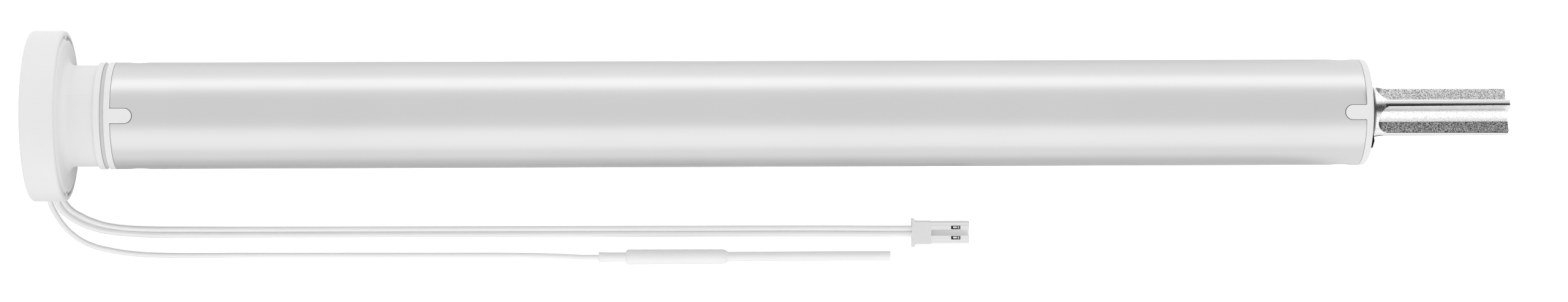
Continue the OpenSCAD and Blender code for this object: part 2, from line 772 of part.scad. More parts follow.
// Plate that closes the gearbox and carries the motor
module motor_plate() color(steel) difference() {
    rod(x_motor, x_gearbox, insert_r);
    rod(x_motor - 1, x_gearbox + 1, motor_bush_r + 1);
    motor_screw_places() {
        rod(x_motor - 1, x_gearbox + 1, motor_screw_d / 2 + 0.1);
        rod(x_gearbox - screw_head_t - 0.1, x_gearbox + 1, motor_screw_d + 0.1);
    }
}

module motor_screw_places() for (side = [-1, 1])
    translate([0, 0, side * motor_screw_r]) children();

module motor_screws() color(black) motor_screw_places() {
    rod(x_gearbox - screw_head_t, x_gearbox, motor_screw_d);
    rod(x_motor - can_wall - 1, x_gearbox - screw_head_t + eps, motor_screw_d / 2);
}

// Motor

module motor_can() color(steel) difference() {
    rod(x_can_end, x_motor, can_r);
    rod(x_can_end - 1, x_motor - can_wall, can_r - can_wall);
    rod(x_motor - 2, x_motor + 1, motor_bush_r + seat_gap);
    motor_screw_places() rod(x_motor - 2, x_motor + 1, motor_screw_d / 2 + seat_gap);
}

module motor_dampers() color(black) for (x = [x_can_end + 1, x_motor - damper_w - 1])
    ring(x, x + damper_w, insert_r, can_r + seat_gap);

module motor_magnets() color("#4b4b50") difference() {
    ring(x_stack - 1, x_stack_end + 1, magnet_out_r, magnet_out_r - magnet_t);
    block([x_stack - 2, -3, -can_r], [x_stack_end + 2, 3, can_r]);
}

module motor_bushes() color(brass) {
    ring(x_motor - motor_bush_len, x_motor, motor_bush_r, rotor_shaft_d / 2 + running_gap);
    ring(x_bell_end, x_bell_end + motor_bush_len, motor_bush_r, rotor_shaft_d / 2 + running_gap);
}

module motor_shaft() color(steel) rod(x_encoder, x_stage_1 + face_1, rotor_shaft_d / 2);

// Laminated rotor: a slot between each two poles
module rotor_stack() color("#8a5a34") along_x(x_stack, x_stack_end) difference() {
    circle(rotor_r);
    circle(rotor_shaft_d / 2 + 0.01);
    for (k = [0:poles - 1]) rotate(360 / poles * k) {
        translate([rotor_r - 2.6, 0]) circle(1.8);
        translate([rotor_r - 2.6, -0.6]) square([3.6, 1.2]);
    }
}

module commutator() color("#b87333")
    ring(x_commutator, x_commutator + commutator_len, commutator_d / 2, rotor_shaft_d / 2 + 0.01);

module brushes() color("#3a3a3a") for (side = [0, 180])
    rotate([side, 0, 0])
        block(
            [x_commutator + brush_margin, commutator_d / 2 + running_gap, -brush_w / 2],
            [x_commutator + commutator_len - brush_margin, brush_out_r, brush_w / 2]
        );

// End bell with two arms that hold the brushes
module end_bell() color(black) difference() {
    union() {
        rod(x_bell_end, x_can_end, can_r);
        rod(x_can_end - eps, x_can_end + bell_rim, can_r - can_wall - seat_gap);
        for (side = [0, 180]) rotate([side, 0, 0]) block(
            [x_can_end, commutator_d / 2 + 1, -brush_w / 2 - holder_wall],
            [x_commutator + commutator_len - 0.5, brush_out_r + 0.5, brush_w / 2 + holder_wall]
        );
    }
    rod(x_bell_end - 1, x_can_end + bell_rim + 1, motor_bush_r + seat_gap);
    for (side = [0, 180]) rotate([side, 0, 0]) block(
        [x_commutator + brush_margin - seat_gap, 0, -brush_w / 2 - seat_gap],
        [
            x_commutator + commutator_len - brush_margin + seat_gap,
            brush_out_r + seat_gap,
            brush_w / 2 + seat_gap
        ]
    );
    rod(x_can_end + bell_rim - eps, x_motor, commutator_d / 2 + 0.5);
}

module motor_terminals() color(brass) for (side = [-1, 1])
    block(
        [x_bell_end - terminal_len, side * terminal_y - 1, board_top - terminal_t],
        [x_bell_end, side * terminal_y + 1, board_top]
    );

module encoder_magnet() color("#3b3b40")
    ring(x_encoder, x_encoder + encoder_t, encoder_d / 2, rotor_shaft_d / 2 + 0.01);

module speed_sensor_board() color(board_green)
    ring(x_sensor, x_bell_end, terminal_y - 2, rotor_shaft_d / 2 + 0.6);

// Electronics

// Half pipe with a ledge on each side under the board, and room for the board's edges
module board_tray() color("#d9d9d6") {
    x_end = x_board_end + 3;
    board_side = board_w / 2 + seat_gap;
    difference() {
        ring(x_tray, x_end, tray_out_r, tray_in_r);
        block(
            [x_tray - 1, -tray_out_r - 1, board_top + tray_rim],
            [x_end + 1, tray_out_r + 1, tray_out_r + 1]
        );
        block([x_tray - 1, -board_side, -board_drop], [x_end + 1, board_side, board_top + tray_rim + 1]);
    }
    intersection() {
        rod(x_tray, x_end, tray_in_r + 0.2);
        for (side = [0, 1]) mirror([0, side, 0])
            block([x_tray, ledge_in, -board_drop - ledge_t], [x_end, tray_out_r, -board_drop]);
    }
}

module circuit_board() color(board_green)
    block([x_board, -board_w / 2, -board_drop], [x_board_end, board_w / 2, board_top]);

// Piece of a given size on top of the board, across its middle
module on_board(x, size) translate([x, -size[1] / 2, board_top]) cube(size);

module driver_chips() color(black) for (k = [0:chips - 1]) on_board(x_chips + chip_pitch * k, chip_size);

module radio_module() color(steel) on_board(x_radio, radio_size);

module buffer_capacitor() color("#2c3e66")
    translate([0, 0, board_top + capacitor_d / 2])
        rod(x_capacitor, x_capacitor + capacitor_len, capacitor_d / 2);

// Terminal block on the board's front edge, which the leads from the head end in
module lead_header() color(nylon) {
    block(header_low, header_high);
    block([x_board - eps, header_low[1], board_top], [x_board + header_lip, header_high[1], header_high[2]]);
}

// The three leads between the grommet and the header: in towards the axis, then along it
module inner_leads() color(white) for (k = [0:2]) {
    d = k == 0 ? antenna_d : lead_d;
    x = drum_floor + seat_gap + lead_d / 2 + (lead_d + seat_gap) * k;
    bend_y = inner_lead_r[k] + inner_bend_r;
    rotate([exit_angle, 0, 0]) {
        translate([x, bend_y, 0]) rotate([-90, 0, 0])
            cylinder(h = grommet_r - grommet_foot_t - bend_y, r = d / 2);
        translate([x + inner_bend_r, bend_y, 0]) rotate([0, 0, 180])
            rotate_extrude(angle = 90) translate([inner_bend_r, 0]) circle(d / 2);
        translate([0, inner_lead_r[k], 0]) rod(x + inner_bend_r, x_header, d / 2);
    }
}

module motor_leads() color("#b03030") for (side = [-1, 1])
    translate([0, side * terminal_y, board_top + motor_lead_r])
        rod(x_board_end - 3, x_bell_end - 1, motor_lead_r);

// Supply leads and plug

module lead_wire_a() color(white) lead(lead_a_path, lead_d);

module lead_wire_b() color(white) lead(lead_b_path, lead_d);

// Body outline across the plug, with its upper corners cut
module connector_outline() {
    cut = 0.7;
    w = connector_w / 2;
    polygon([[-w, 0], [w, 0], [w, connector_h - cut], [w - cut, connector_h],
        [cut - w, connector_h], [-w, connector_h - cut]]);
}

module connector_housing() color(white) translate([0, connector_y, 0]) difference() {
    union() {
        translate([0, 0, floor_z]) along_x(x_connector + connector_ear_t - eps, x_connector_end)
            connector_outline();
        block(
            [x_connector, -connector_ear_w / 2, floor_z],
            [x_connector + connector_ear_t, connector_ear_w / 2, floor_z + connector_h]
        );
    }
    block(
        [x_rails, -connector_groove_w / 2, floor_z + connector_h - connector_groove_depth],
        [x_connector_end + 1, connector_groove_w / 2, floor_z + connector_h + 1]
    );
    for (side = [-1, 1]) translate([0, side * contact_pitch / 2, 0]) {
        block(
            [x_connector_end - contact_len - 1, -contact_w / 2 - 0.1, contact_top - contact_t - 0.1],
            [x_connector_end + 1, contact_w / 2 + 0.1, contact_top + 0.5]
        );
        block(
            [x_rails + window_x[0], -contact_w / 2, contact_top],
            [x_rails + window_x[1], contact_w / 2, floor_z + connector_h + 1]
        );
    }
}

// Two spring contacts, seen through the windows in the rails
module connector_contacts() color("#c8c4b4") translate([0, connector_y, 0])
    for (side = [-1, 1]) translate([0, side * contact_pitch / 2, 0]) difference() {
        block(
            [x_connector_end - contact_len - 1, -contact_w / 2, contact_top - contact_t - 0.1],
            [x_connector_end - 0.8, contact_w / 2, contact_top + 0.3]
        );
        block(
            [x_rails + window_x[0] + 1, -contact_w, contact_top - 0.1],
            [x_rails + window_x[1] - 0.7, contact_w, contact_top + 1]
        );
    }

// Antenna

module antenna_wire() color(white) lead(antenna_path, antenna_d);

module on_antenna_axis() translate([0, antenna_y, antenna_z]) children();

module antenna_sleeve() color(white) on_antenna_axis() rod(x_sleeve, x_shrink, sleeve_d / 2);

module antenna_shrink() color(white) on_antenna_axis()
    turned() turned_plate(x_shrink, x_shrink + shrink_len, shrink_d / 2, shrink_edge_r, shrink_edge_r);

module antenna_tube() color(white) lead(antenna_tube_path, antenna_tube_d);

head_drum();
head_body();
cord_grommet();
isolator_ring();
head_plug();
plug_lock_ring();
tube();
end_cap();
output_bush();
thrust_washer();
shaft_clip();
drive_shaft();
output_carrier();
ring_gear();
planet(x_stage_3, face_3, 0);  // planet_3a
planet(x_stage_3, face_3, 1);  // planet_3b
planet(x_stage_3, face_3, 2);  // planet_3c
carrier_2();
planet(x_stage_2, face_2, 0);  // planet_2a
planet(x_stage_2, face_2, 1);  // planet_2b
planet(x_stage_2, face_2, 2);  // planet_2c
carrier_1();
planet(x_stage_1, face_1, 0);  // planet_1a
planet(x_stage_1, face_1, 1);  // planet_1b
planet(x_stage_1, face_1, 2);  // planet_1c
motor_pinion();
motor_plate();
motor_screws();
motor_can();
motor_dampers();
motor_magnets();
motor_bushes();
motor_shaft();
rotor_stack();
commutator();
brushes();
end_bell();
motor_terminals();
encoder_magnet();
speed_sensor_board();
board_tray();
circuit_board();
driver_chips();
radio_module();
buffer_capacitor();
lead_header();
inner_leads();
motor_leads();
lead_wire_a();
lead_wire_b();
connector_housing();
connector_contacts();
antenna_wire();
antenna_sleeve();
antenna_shrink();
antenna_tube();
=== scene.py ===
# %% [markdown]
# # Dressing a tubular roller blind motor
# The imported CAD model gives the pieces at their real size. This script keeps that frame fixed and adds what
# the eye looks for: the camera of a product photograph, soft light, cords, rounded edges and real finishes.
# The object's lengths are written in millimetres, and MM turns them into metres. Names that end in _M hold
# metres.

import json
import math

import bmesh
import bpy
from mathutils import Matrix, Vector


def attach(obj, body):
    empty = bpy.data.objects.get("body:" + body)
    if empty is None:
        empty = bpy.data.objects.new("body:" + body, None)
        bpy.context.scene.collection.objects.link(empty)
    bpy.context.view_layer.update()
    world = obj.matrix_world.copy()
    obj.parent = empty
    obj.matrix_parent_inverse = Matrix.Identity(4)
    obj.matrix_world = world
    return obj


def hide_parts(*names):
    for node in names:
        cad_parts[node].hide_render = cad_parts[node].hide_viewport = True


MM = 0.001
HOUSING = "housing"
OUTPUT = "drive_output"

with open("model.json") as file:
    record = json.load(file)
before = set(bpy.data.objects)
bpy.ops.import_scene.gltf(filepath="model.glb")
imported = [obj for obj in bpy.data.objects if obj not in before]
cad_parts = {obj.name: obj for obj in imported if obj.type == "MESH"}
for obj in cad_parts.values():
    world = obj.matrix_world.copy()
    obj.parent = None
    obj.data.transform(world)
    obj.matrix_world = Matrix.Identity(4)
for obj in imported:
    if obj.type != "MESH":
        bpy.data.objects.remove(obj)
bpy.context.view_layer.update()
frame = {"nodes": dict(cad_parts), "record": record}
scene = bpy.context.scene

# %% [markdown]
# ## The camera
# The photograph looks straight down on the motor from a little under a metre away. Its focal length in
# pixels was worked out from how the round ends of the tube curve, so the lens is that number over the
# picture's width.

# %% Camera
PHOTO_WIDTH = 2560
FOCAL_PIXELS = 5795.4
SENSOR_MM = 36.0
CAMERA_MM = (164.3, 0.0, 937.7)
CAMERA_TURNS = (("Y", -0.03496), ("X", -0.01047), ("Z", -0.00307))

camera_data = bpy.data.cameras.new("photo_camera")
camera_data.sensor_width = SENSOR_MM
camera_data.lens = FOCAL_PIXELS / PHOTO_WIDTH * SENSOR_MM
camera = bpy.data.objects.new("photo_camera", camera_data)
turn = Matrix.Identity(3)
for axis, angle in CAMERA_TURNS:
    turn = turn @ Matrix.Rotation(angle, 3, axis)
camera.matrix_world = Matrix.Translation(Vector(CAMERA_MM) * MM) @ turn.to_4x4()
scene.collection.objects.link(camera)
scene.camera = camera
print("lens:", round(camera_data.lens, 1), "mm")

# %% [markdown]
# ## Node helpers
# A material is a small graph. One function adds a node with its settings and its links, and another turns the
# sRGB colour that a picture editor shows into the linear colour that the shader wants.

# %% Node helpers


def colour(hex_code):
    channels = [int(hex_code[i : i + 2], 16) / 255 for i in (1, 3, 5)]
    return (*[c / 12.92 if c <= 0.04045 else ((c + 0.055) / 1.055) ** 2.4 for c in channels], 1.0)


def dimmed(linear, share):
    """The same colour with less light."""
    return (*[c * share for c in linear[:3]], 1.0)


def add_node(tree, kind, inputs=None, **settings):
    """Adds a node. inputs maps a socket's name or number to a value or to another node's output."""
    node = tree.nodes.new(kind)
    for name, value in settings.items():
        setattr(node, name, value)
    for name, value in (inputs or {}).items():
        if isinstance(value, bpy.types.NodeSocket):
            tree.links.new(value, node.inputs[name])
        else:
            node.inputs[name].default_value = value
    return node


def new_tree(name):
    material = bpy.data.materials.new(name)
    material.use_nodes = True
    material.node_tree.nodes.clear()
    return material, material.node_tree


def grain_scale(size_mm):
    """Noise scale that gives grains of about this size, on Object coordinates in metres."""
    return 1.0 / (size_mm * MM)


print("mid grey in linear light:", round(colour("#808080")[0], 3))

# %% [markdown]
# ## Floor
# The motor lies on a wide sheet of white paper. It is one level square, stretched and put in place, and no
# piece of the motor.

# %% Floor
FLOOR_Z_MM = -22.4
FLOOR_SIZE_M = 8.0
FLOOR_MIDDLE_X_M = 0.2


def stage_card(name, size_m, middle_m):
    """Level rectangle that belongs to the stage."""
    bm = bmesh.new()
    bmesh.ops.create_grid(bm, x_segments=1, y_segments=1, size=0.5)
    bmesh.ops.scale(bm, vec=(*size_m, 1.0), verts=bm.verts)
    bmesh.ops.translate(bm, vec=middle_m, verts=bm.verts)
    mesh = bpy.data.meshes.new(name)
    bm.to_mesh(mesh)
    bm.free()
    sheet = bpy.data.objects.new(name, mesh)
    scene.collection.objects.link(sheet)
    return sheet


floor = stage_card("floor", (FLOOR_SIZE_M, FLOOR_SIZE_M), (FLOOR_MIDDLE_X_M, 0, FLOOR_Z_MM * MM))
print("floor:", FLOOR_SIZE_M, "m wide, at", FLOOR_Z_MM, "mm")

# %% [markdown]
# ## White paper with two dark patches
# The paper adds its own white where the camera or a mirror-like surface looks at it, so it clips to white but
# keeps a shadow. In reflections that white fades out in two valleys, one in front of the tube and one beside
# the shaft, which leaves the metal a darker edge. Around the head the paper is dark for scattered light, as
# if a dark card lay there, so that the white cords keep their shading. Beside the shaft it is dark for
# mirror-like rays, so that bright metal has something to mirror.

# %% Floor paper
FLOOR_GLOW, FLOOR_GLOW_MIRRORED = 0.62, 0.35
TUBE_VALLEY_M, SHAFT_VALLEY_M = (-0.035, 0.03, 0.085), (-0.013, 0.006, 0.011)
TUBE_STOPS_M = (0.342, 0.352)
HEAD_CARD_AT_M, HEAD_CARD_R_M = (0.012, -0.022, FLOOR_Z_MM * MM), (0.02, 0.05)


def mirror_ray(tree):
    """1 for glossy and transmission rays, 0 for others."""
    path = add_node(tree, "ShaderNodeLightPath").outputs
    kinds = {0: path["Is Glossy Ray"], 1: path["Is Transmission Ray"]}
    return add_node(tree, "ShaderNodeMath", kinds, operation="MAXIMUM").outputs["Value"]


def valley(tree, across, y_m, from_m, to_m):
    """0 at a line along the motor and 1 some way beside it."""
    beside = add_node(tree, "ShaderNodeMath", {0: across, 1: y_m}, operation="SUBTRACT")
    away = add_node(tree, "ShaderNodeMath", {0: beside.outputs["Value"]}, operation="ABSOLUTE")
    span = {"Value": away.outputs["Value"], "From Min": from_m, "From Max": to_m}
    return add_node(tree, "ShaderNodeMapRange", span).outputs["Result"]


floor_paper, tree = new_tree("white_paper_floor")
place = add_node(tree, "ShaderNodeTexCoord").outputs["Object"]
where = add_node(tree, "ShaderNodeSeparateXYZ", {"Vector": place}).outputs
rays = add_node(tree, "ShaderNodeLightPath").outputs

tube_end_span = {"Value": where["X"], "From Min": TUBE_STOPS_M[0], "From Max": TUBE_STOPS_M[1]}
past_tube = add_node(tree, "ShaderNodeMapRange", tube_end_span).outputs["Result"]
beside_shaft = valley(tree, where["Y"], *SHAFT_VALLEY_M)
beside_tube = valley(tree, where["Y"], *TUBE_VALLEY_M)
level = add_node(tree, "ShaderNodeMix", {"Factor": past_tube, "A": beside_tube, "B": beside_shaft})
weak = add_node(
    tree, "ShaderNodeMath", {0: level.outputs["Result"], 1: FLOOR_GLOW_MIRRORED}, operation="MULTIPLY"
)
mirrored = add_node(
    tree, "ShaderNodeMath", {0: mirror_ray(tree), 1: weak.outputs["Value"]}, operation="MULTIPLY"
)
strength = add_node(
    tree,
    "ShaderNodeMath",
    {0: rays["Is Camera Ray"], 1: FLOOR_GLOW, 2: mirrored.outputs["Value"]},
    operation="MULTIPLY_ADD",
)

from_head = add_node(tree, "ShaderNodeVectorMath", {0: place, 1: HEAD_CARD_AT_M}, operation="DISTANCE")
head_span = dict(zip(("From Min", "From Max", "To Min", "To Max"), (*HEAD_CARD_R_M, 1.0, 0.0)))
near_head = add_node(tree, "ShaderNodeMapRange", {"Value": from_head.outputs["Value"], **head_span})
head_card = add_node(
    tree,
    "ShaderNodeMath",
    {0: near_head.outputs["Result"], 1: rays["Is Diffuse Ray"]},
    operation="MULTIPLY",
)
in_valley = add_node(tree, "ShaderNodeMath", {0: 1.0, 1: beside_shaft}, operation="SUBTRACT")
by_shaft = add_node(
    tree, "ShaderNodeMath", {0: past_tube, 1: in_valley.outputs["Value"]}, operation="MULTIPLY"
)
shaft_card = add_node(
    tree, "ShaderNodeMath", {0: by_shaft.outputs["Value"], 1: rays["Is Glossy Ray"]}, operation="MULTIPLY"
)
dark = add_node(
    tree,
    "ShaderNodeMath",
    {0: head_card.outputs["Value"], 1: shaft_card.outputs["Value"]},
    operation="MAXIMUM",
)
paper_colour = add_node(
    tree,
    "ShaderNodeMix",
    {"Factor": dark.outputs["Value"], "A": colour("#f2f2f2"), "B": colour("#101010")},
    data_type="RGBA",
)
paper = add_node(tree, "ShaderNodeBsdfDiffuse", {"Color": paper_colour.outputs["Result"]})
glow = add_node(tree, "ShaderNodeEmission", {"Strength": strength.outputs["Value"]})
both = add_node(tree, "ShaderNodeAddShader", {0: paper.outputs["BSDF"], 1: glow.outputs["Emission"]})
add_node(tree, "ShaderNodeOutputMaterial", {"Surface": both.outputs["Shader"]})
floor.data.materials.append(floor_paper)
print("floor paper:", len(tree.nodes), "nodes")

# %% [markdown]
# ## Light tent
# An even pale surround, which looks white where the camera or a mirror-like surface sees it, a long panel low
# behind the motor and one in front. On a satin metal tube those panels draw the bright band near the top and
# the broad one below.

# %% Surround
SURROUND, WHITE = 0.80, 1.0

world = bpy.data.worlds.new("light_tent")
world.use_nodes = True
world.node_tree.nodes.clear()
tree = world.node_tree
seen = add_node(tree, "ShaderNodeLightPath").outputs["Is Camera Ray"]
direct = add_node(tree, "ShaderNodeMath", {0: seen, 1: mirror_ray(tree)}, operation="MAXIMUM")
level = add_node(
    tree, "ShaderNodeMapRange", {"Value": direct.outputs["Value"], "To Min": SURROUND, "To Max": WHITE}
)
tent = add_node(
    tree, "ShaderNodeBackground", {"Color": (1, 1, 1, 1), "Strength": level.outputs["Result"]}
)
add_node(tree, "ShaderNodeOutputWorld", {"Surface": tent.outputs["Background"]})
scene.world = world
scene.view_settings.view_transform = "Standard"
print("surround:", SURROUND, "and", WHITE, "where it is seen")

# %% Panels
MOTOR_MIDDLE_X_M = 0.19


def panel(name, place_m, size_m, watts):
    """Long soft panel that faces the middle of the motor."""
    light = bpy.data.lights.new(name, "AREA")
    light.shape = "RECTANGLE"
    light.size, light.size_y = size_m
    light.energy = watts
    lamp = bpy.data.objects.new(name, light)
    lamp.location = place_m
    middle = Vector((MOTOR_MIDDLE_X_M, 0, 0))
    lamp.rotation_euler = (middle - Vector(place_m)).to_track_quat("-Z", "Y").to_euler()
    scene.collection.objects.link(lamp)
    print(name, watts, "W")


panel("back_panel", (MOTOR_MIDDLE_X_M, 0.95, 0.30), (2.6, 0.5), 2.8)
panel("front_panel", (MOTOR_MIDDLE_X_M, -0.75, 0.55), (2.6, 0.9), 3.0)

# %% [markdown]
# ## Black flag
# Bright metal in a white tent looks like white paper, because it has nothing dark to mirror. A photographer
# holds a small black card, a flag, over it. This one hangs over the drive shaft and is seen by mirror-like
# rays alone, so it draws dark lines on the shaft and casts no shadow.

# %% Black flag
FLAG_X_M, FLAG_Y_M, FLAG_Z_M = (0.3572, 0.44), (-0.0006, 0.0185), 0.024

flag_size = (FLAG_X_M[1] - FLAG_X_M[0], FLAG_Y_M[1] - FLAG_Y_M[0])
flag = stage_card("black_flag", flag_size, (sum(FLAG_X_M) / 2, sum(FLAG_Y_M) / 2, FLAG_Z_M))
flag.visible_camera = flag.visible_diffuse = flag.visible_shadow = flag.visible_transmission = False
black_card, tree = new_tree("black_card")
card = add_node(tree, "ShaderNodeBsdfDiffuse", {"Color": colour("#2b2b2b")})
add_node(tree, "ShaderNodeOutputMaterial", {"Surface": card.outputs["BSDF"]})
flag.data.materials.append(black_card)
print("flag:", [round(side / MM) for side in flag_size], "mm")

# %% [markdown]
# ## What every finish ends in
# Plastic, drawn metal and cast metal differ in their patterns, but each ends in the same three nodes: a bump
# that lets the grain stand out by a real depth, the shader, and the output.

# %% Shader with grain


def grained_shader(tree, tint, gloss, grain, bump_strength, depth_mm, settings):
    """Ends a material. settings holds the sockets that are the same all over the surface."""
    height = {"Height": grain.outputs["Fac"], "Strength": bump_strength, "Distance": depth_mm * MM}
    bump = add_node(tree, "ShaderNodeBump", height)
    sockets = {
        "Base Color": tint.outputs["Result"],
        "Roughness": gloss.outputs["Result"],
        "Normal": bump.outputs["Normal"],
    }
    surface = add_node(tree, "ShaderNodeBsdfPrincipled", {**sockets, **settings})
    add_node(tree, "ShaderNodeOutputMaterial", {"Surface": surface.outputs["BSDF"]})


# %% [markdown]
# ## Moulded white plastic
# Head and end cap are ABS, injection moulded in a tool with a fine spark-eroded surface. ABS is opaque, a
# little warm of pure white, and satin: the grain breaks the gloss up. The real grain is about 0.05 mm, too
# fine to show, so it is drawn at 0.35 mm with a very low height.

# %% Moulded plastics
PLASTIC_IOR = 1.53
FLOW_MM = 9.0


def moulded_plastic(name, hex_code, roughness, grain_mm=0.35, depth_mm=0.006):
    material, tree = new_tree(name)
    place = add_node(tree, "ShaderNodeTexCoord").outputs["Object"]
    grain = add_node(
        tree, "ShaderNodeTexNoise", {"Vector": place, "Scale": grain_scale(grain_mm), "Detail": 3.0}
    )
    flow = add_node(
        tree, "ShaderNodeTexNoise", {"Vector": place, "Scale": grain_scale(FLOW_MM), "Detail": 2.0}
    )
    base = colour(hex_code)
    tint = add_node(
        tree,
        "ShaderNodeMix",
        {"Factor": flow.outputs["Fac"], "A": base, "B": dimmed(base, 0.955)},
        data_type="RGBA",
    )
    uneven = add_node(
        tree,
        "ShaderNodeMapRange",
        {"Value": flow.outputs["Fac"], "To Min": roughness - 0.05, "To Max": roughness + 0.07},
    )
    grained_shader(tree, tint, uneven, grain, 0.5, depth_mm, {"IOR": PLASTIC_IOR})
    return material


# %% [markdown]
# ## Metals
# The tube is an extruded aluminium profile, brushed lightly along its length and then anodised: a soft mirror
# that stretches highlights along the tube. Steel and brass inside are turned or stamped, with finer marks.
# A metal keeps the default IOR; its colour and roughness do the work.

# %% Drawn metals
CLOUD_MM = 25.0


def drawn_metal(name, hex_code, roughness, streak_mm=0.25, length_mm=40.0, depth_mm=0.002, change=0.06):
    """Metal with fine marks along X, as drawing, brushing or turning leaves them."""
    material, tree = new_tree(name)
    place = add_node(tree, "ShaderNodeTexCoord").outputs["Object"]
    stretched = add_node(
        tree, "ShaderNodeMapping", {"Vector": place, "Scale": (streak_mm / length_mm, 1.0, 1.0)}
    )
    marks = add_node(
        tree,
        "ShaderNodeTexNoise",
        {"Vector": stretched.outputs["Vector"], "Scale": grain_scale(streak_mm), "Detail": 4.0},
    )
    cloud = add_node(
        tree, "ShaderNodeTexNoise", {"Vector": place, "Scale": grain_scale(CLOUD_MM), "Detail": 2.0}
    )
    uneven = add_node(
        tree,
        "ShaderNodeMapRange",
        {"Value": marks.outputs["Fac"], "To Min": roughness - change, "To Max": roughness + change},
    )
    base = colour(hex_code)
    tint = add_node(
        tree,
        "ShaderNodeMix",
        {"Factor": cloud.outputs["Fac"], "A": base, "B": dimmed(base, 0.95)},
        data_type="RGBA",
    )
    grained_shader(tree, tint, uneven, marks, 0.4, depth_mm, {"Metallic": 1.0})
    return material


# %% [markdown]
# ## Cast and sintered metal
# The drive shaft is cast in zinc alloy. The flanks of its wings keep the matt grain of the die, with pits
# that look dark, while the bottoms of the flutes are rubbed bright. The grain is drawn at 0.3 mm, a little
# coarser than the real one, so that it shows. Where a flute runs out, the colour is painted a flat dark grey
# as shade, and the grain starts a short way into the flute. The bronze bushes have the same kind of
# surface, only finer.

# %% Pitted metals
# Flat dark grey painted as shade where a flute runs out.
RUN_OUT_PAINTED_SHADE_HEX = "#5c5c5d"


def pitted_metal(
    name, bright_hex, pit_hex, pit_share, roughness, grain_mm=0.28, depth_mm=0.05, run_out=None, edge=0.07
):
    """Metal with pits. run_out gives two stations, in mm: before the first the colour is painted a flat dark
    grey as shade, and from the second the grain is full.
    """
    material, tree = new_tree(name)
    place = add_node(tree, "ShaderNodeTexCoord").outputs["Object"]
    grain = add_node(
        tree,
        "ShaderNodeTexNoise",
        {"Vector": place, "Scale": grain_scale(grain_mm), "Detail": 2.0, "Roughness": 0.6},
    )
    pits = add_node(
        tree,
        "ShaderNodeMapRange",
        {"Value": grain.outputs["Fac"], "From Min": pit_share - edge, "From Max": pit_share + edge},
    )
    tint = add_node(
        tree,
        "ShaderNodeMix",
        {"Factor": pits.outputs["Result"], "A": colour(pit_hex), "B": colour(bright_hex)},
        data_type="RGBA",
    )
    if run_out:
        along = add_node(tree, "ShaderNodeSeparateXYZ", {"Vector": place}).outputs["X"]
        stations = {"Value": along, "From Min": run_out[0] * MM, "From Max": run_out[1] * MM}
        started = add_node(tree, "ShaderNodeMapRange", stations)
        tint = add_node(
            tree,
            "ShaderNodeMix",
            {"Factor": started.outputs["Result"], "A": colour(RUN_OUT_PAINTED_SHADE_HEX), "B": tint.outputs["Result"]},
            data_type="RGBA",
        )
    uneven = add_node(
        tree,
        "ShaderNodeMapRange",
        {"Value": pits.outputs["Result"], "To Min": min(1.0, roughness + 0.2), "To Max": roughness},
    )
    grained_shader(tree, tint, uneven, grain, 0.8, depth_mm, {"Metallic": 1.0})
    return material


# %% [markdown]
# ## One finish for each slot of the record
# The record names a material slot for every CAD node, so one table from slot to material dresses all of them,
# the hidden gears and electronics included.

# %% Finishes
FINISH = {
    "white_abs": moulded_plastic("moulded_white_abs", "#f0f0f0", 0.45),
    "satin_aluminium": drawn_metal("anodised_aluminium", "#cecece", 0.34, change=0.03),
    "grey_rubber": moulded_plastic("grey_thermoplastic_rubber", "#d6d6d6", 0.62, depth_mm=0.01),
    "black_rubber": moulded_plastic("black_rubber", "#1c1c1d", 0.7, depth_mm=0.012),
    "cast_zinc": pitted_metal(
        "bright_cast_zinc", "#efefef", "#c4c4c4", 0.44, 0.2, grain_mm=0.3, depth_mm=0.014, edge=0.14
    ),
    "black_steel": drawn_metal("black_phosphated_steel", "#161617", 0.55),
    "plain_steel": drawn_metal("drawn_steel", "#b9bcc0", 0.3, length_mm=6.0),
    "bronze": pitted_metal("sintered_bronze", "#c7a065", "#8c6a3c", 0.35, 0.45, grain_mm=0.15),
    "brass": drawn_metal("turned_brass", "#d9b566", 0.25, length_mm=3.0),
    "nylon": moulded_plastic("natural_nylon", "#e6dfcf", 0.45),
    "black_plastic": moulded_plastic("black_moulded_nylon", "#202022", 0.5),
    "magnet": moulded_plastic("bonded_ferrite", "#4b4b50", 0.6, depth_mm=0.02),
    "copper": drawn_metal("laminated_copper", "#b87333", 0.35, streak_mm=0.5, length_mm=0.5),
    "circuit_green": moulded_plastic("green_solder_mask", "#2f6b46", 0.3),
    "grey_plastic": moulded_plastic("grey_moulded_plastic", "#d9d9d6", 0.45),
    "capacitor_sleeve": moulded_plastic("blue_capacitor_sleeve", "#2c3e66", 0.3),
    "lead_white": moulded_plastic("white_pvc", "#fbfbfb", 0.36, grain_mm=0.6),
    "lead_red": moulded_plastic("red_pvc", "#b03030", 0.36, grain_mm=0.6),
    "connector_white": moulded_plastic("natural_white_nylon", "#f7f7f7", 0.4),
    "tinned_contact": drawn_metal("tinned_bronze", "#e2e2e2", 0.18, length_mm=2.0),
}
for subpart in frame["record"]["subparts"]:
    node = frame["nodes"][subpart["node"]]
    node.data.materials.clear()
    node.data.materials.append(FINISH[subpart["material_slot"]])
print(len(FINISH), "finishes on", len(frame["nodes"]), "CAD nodes")
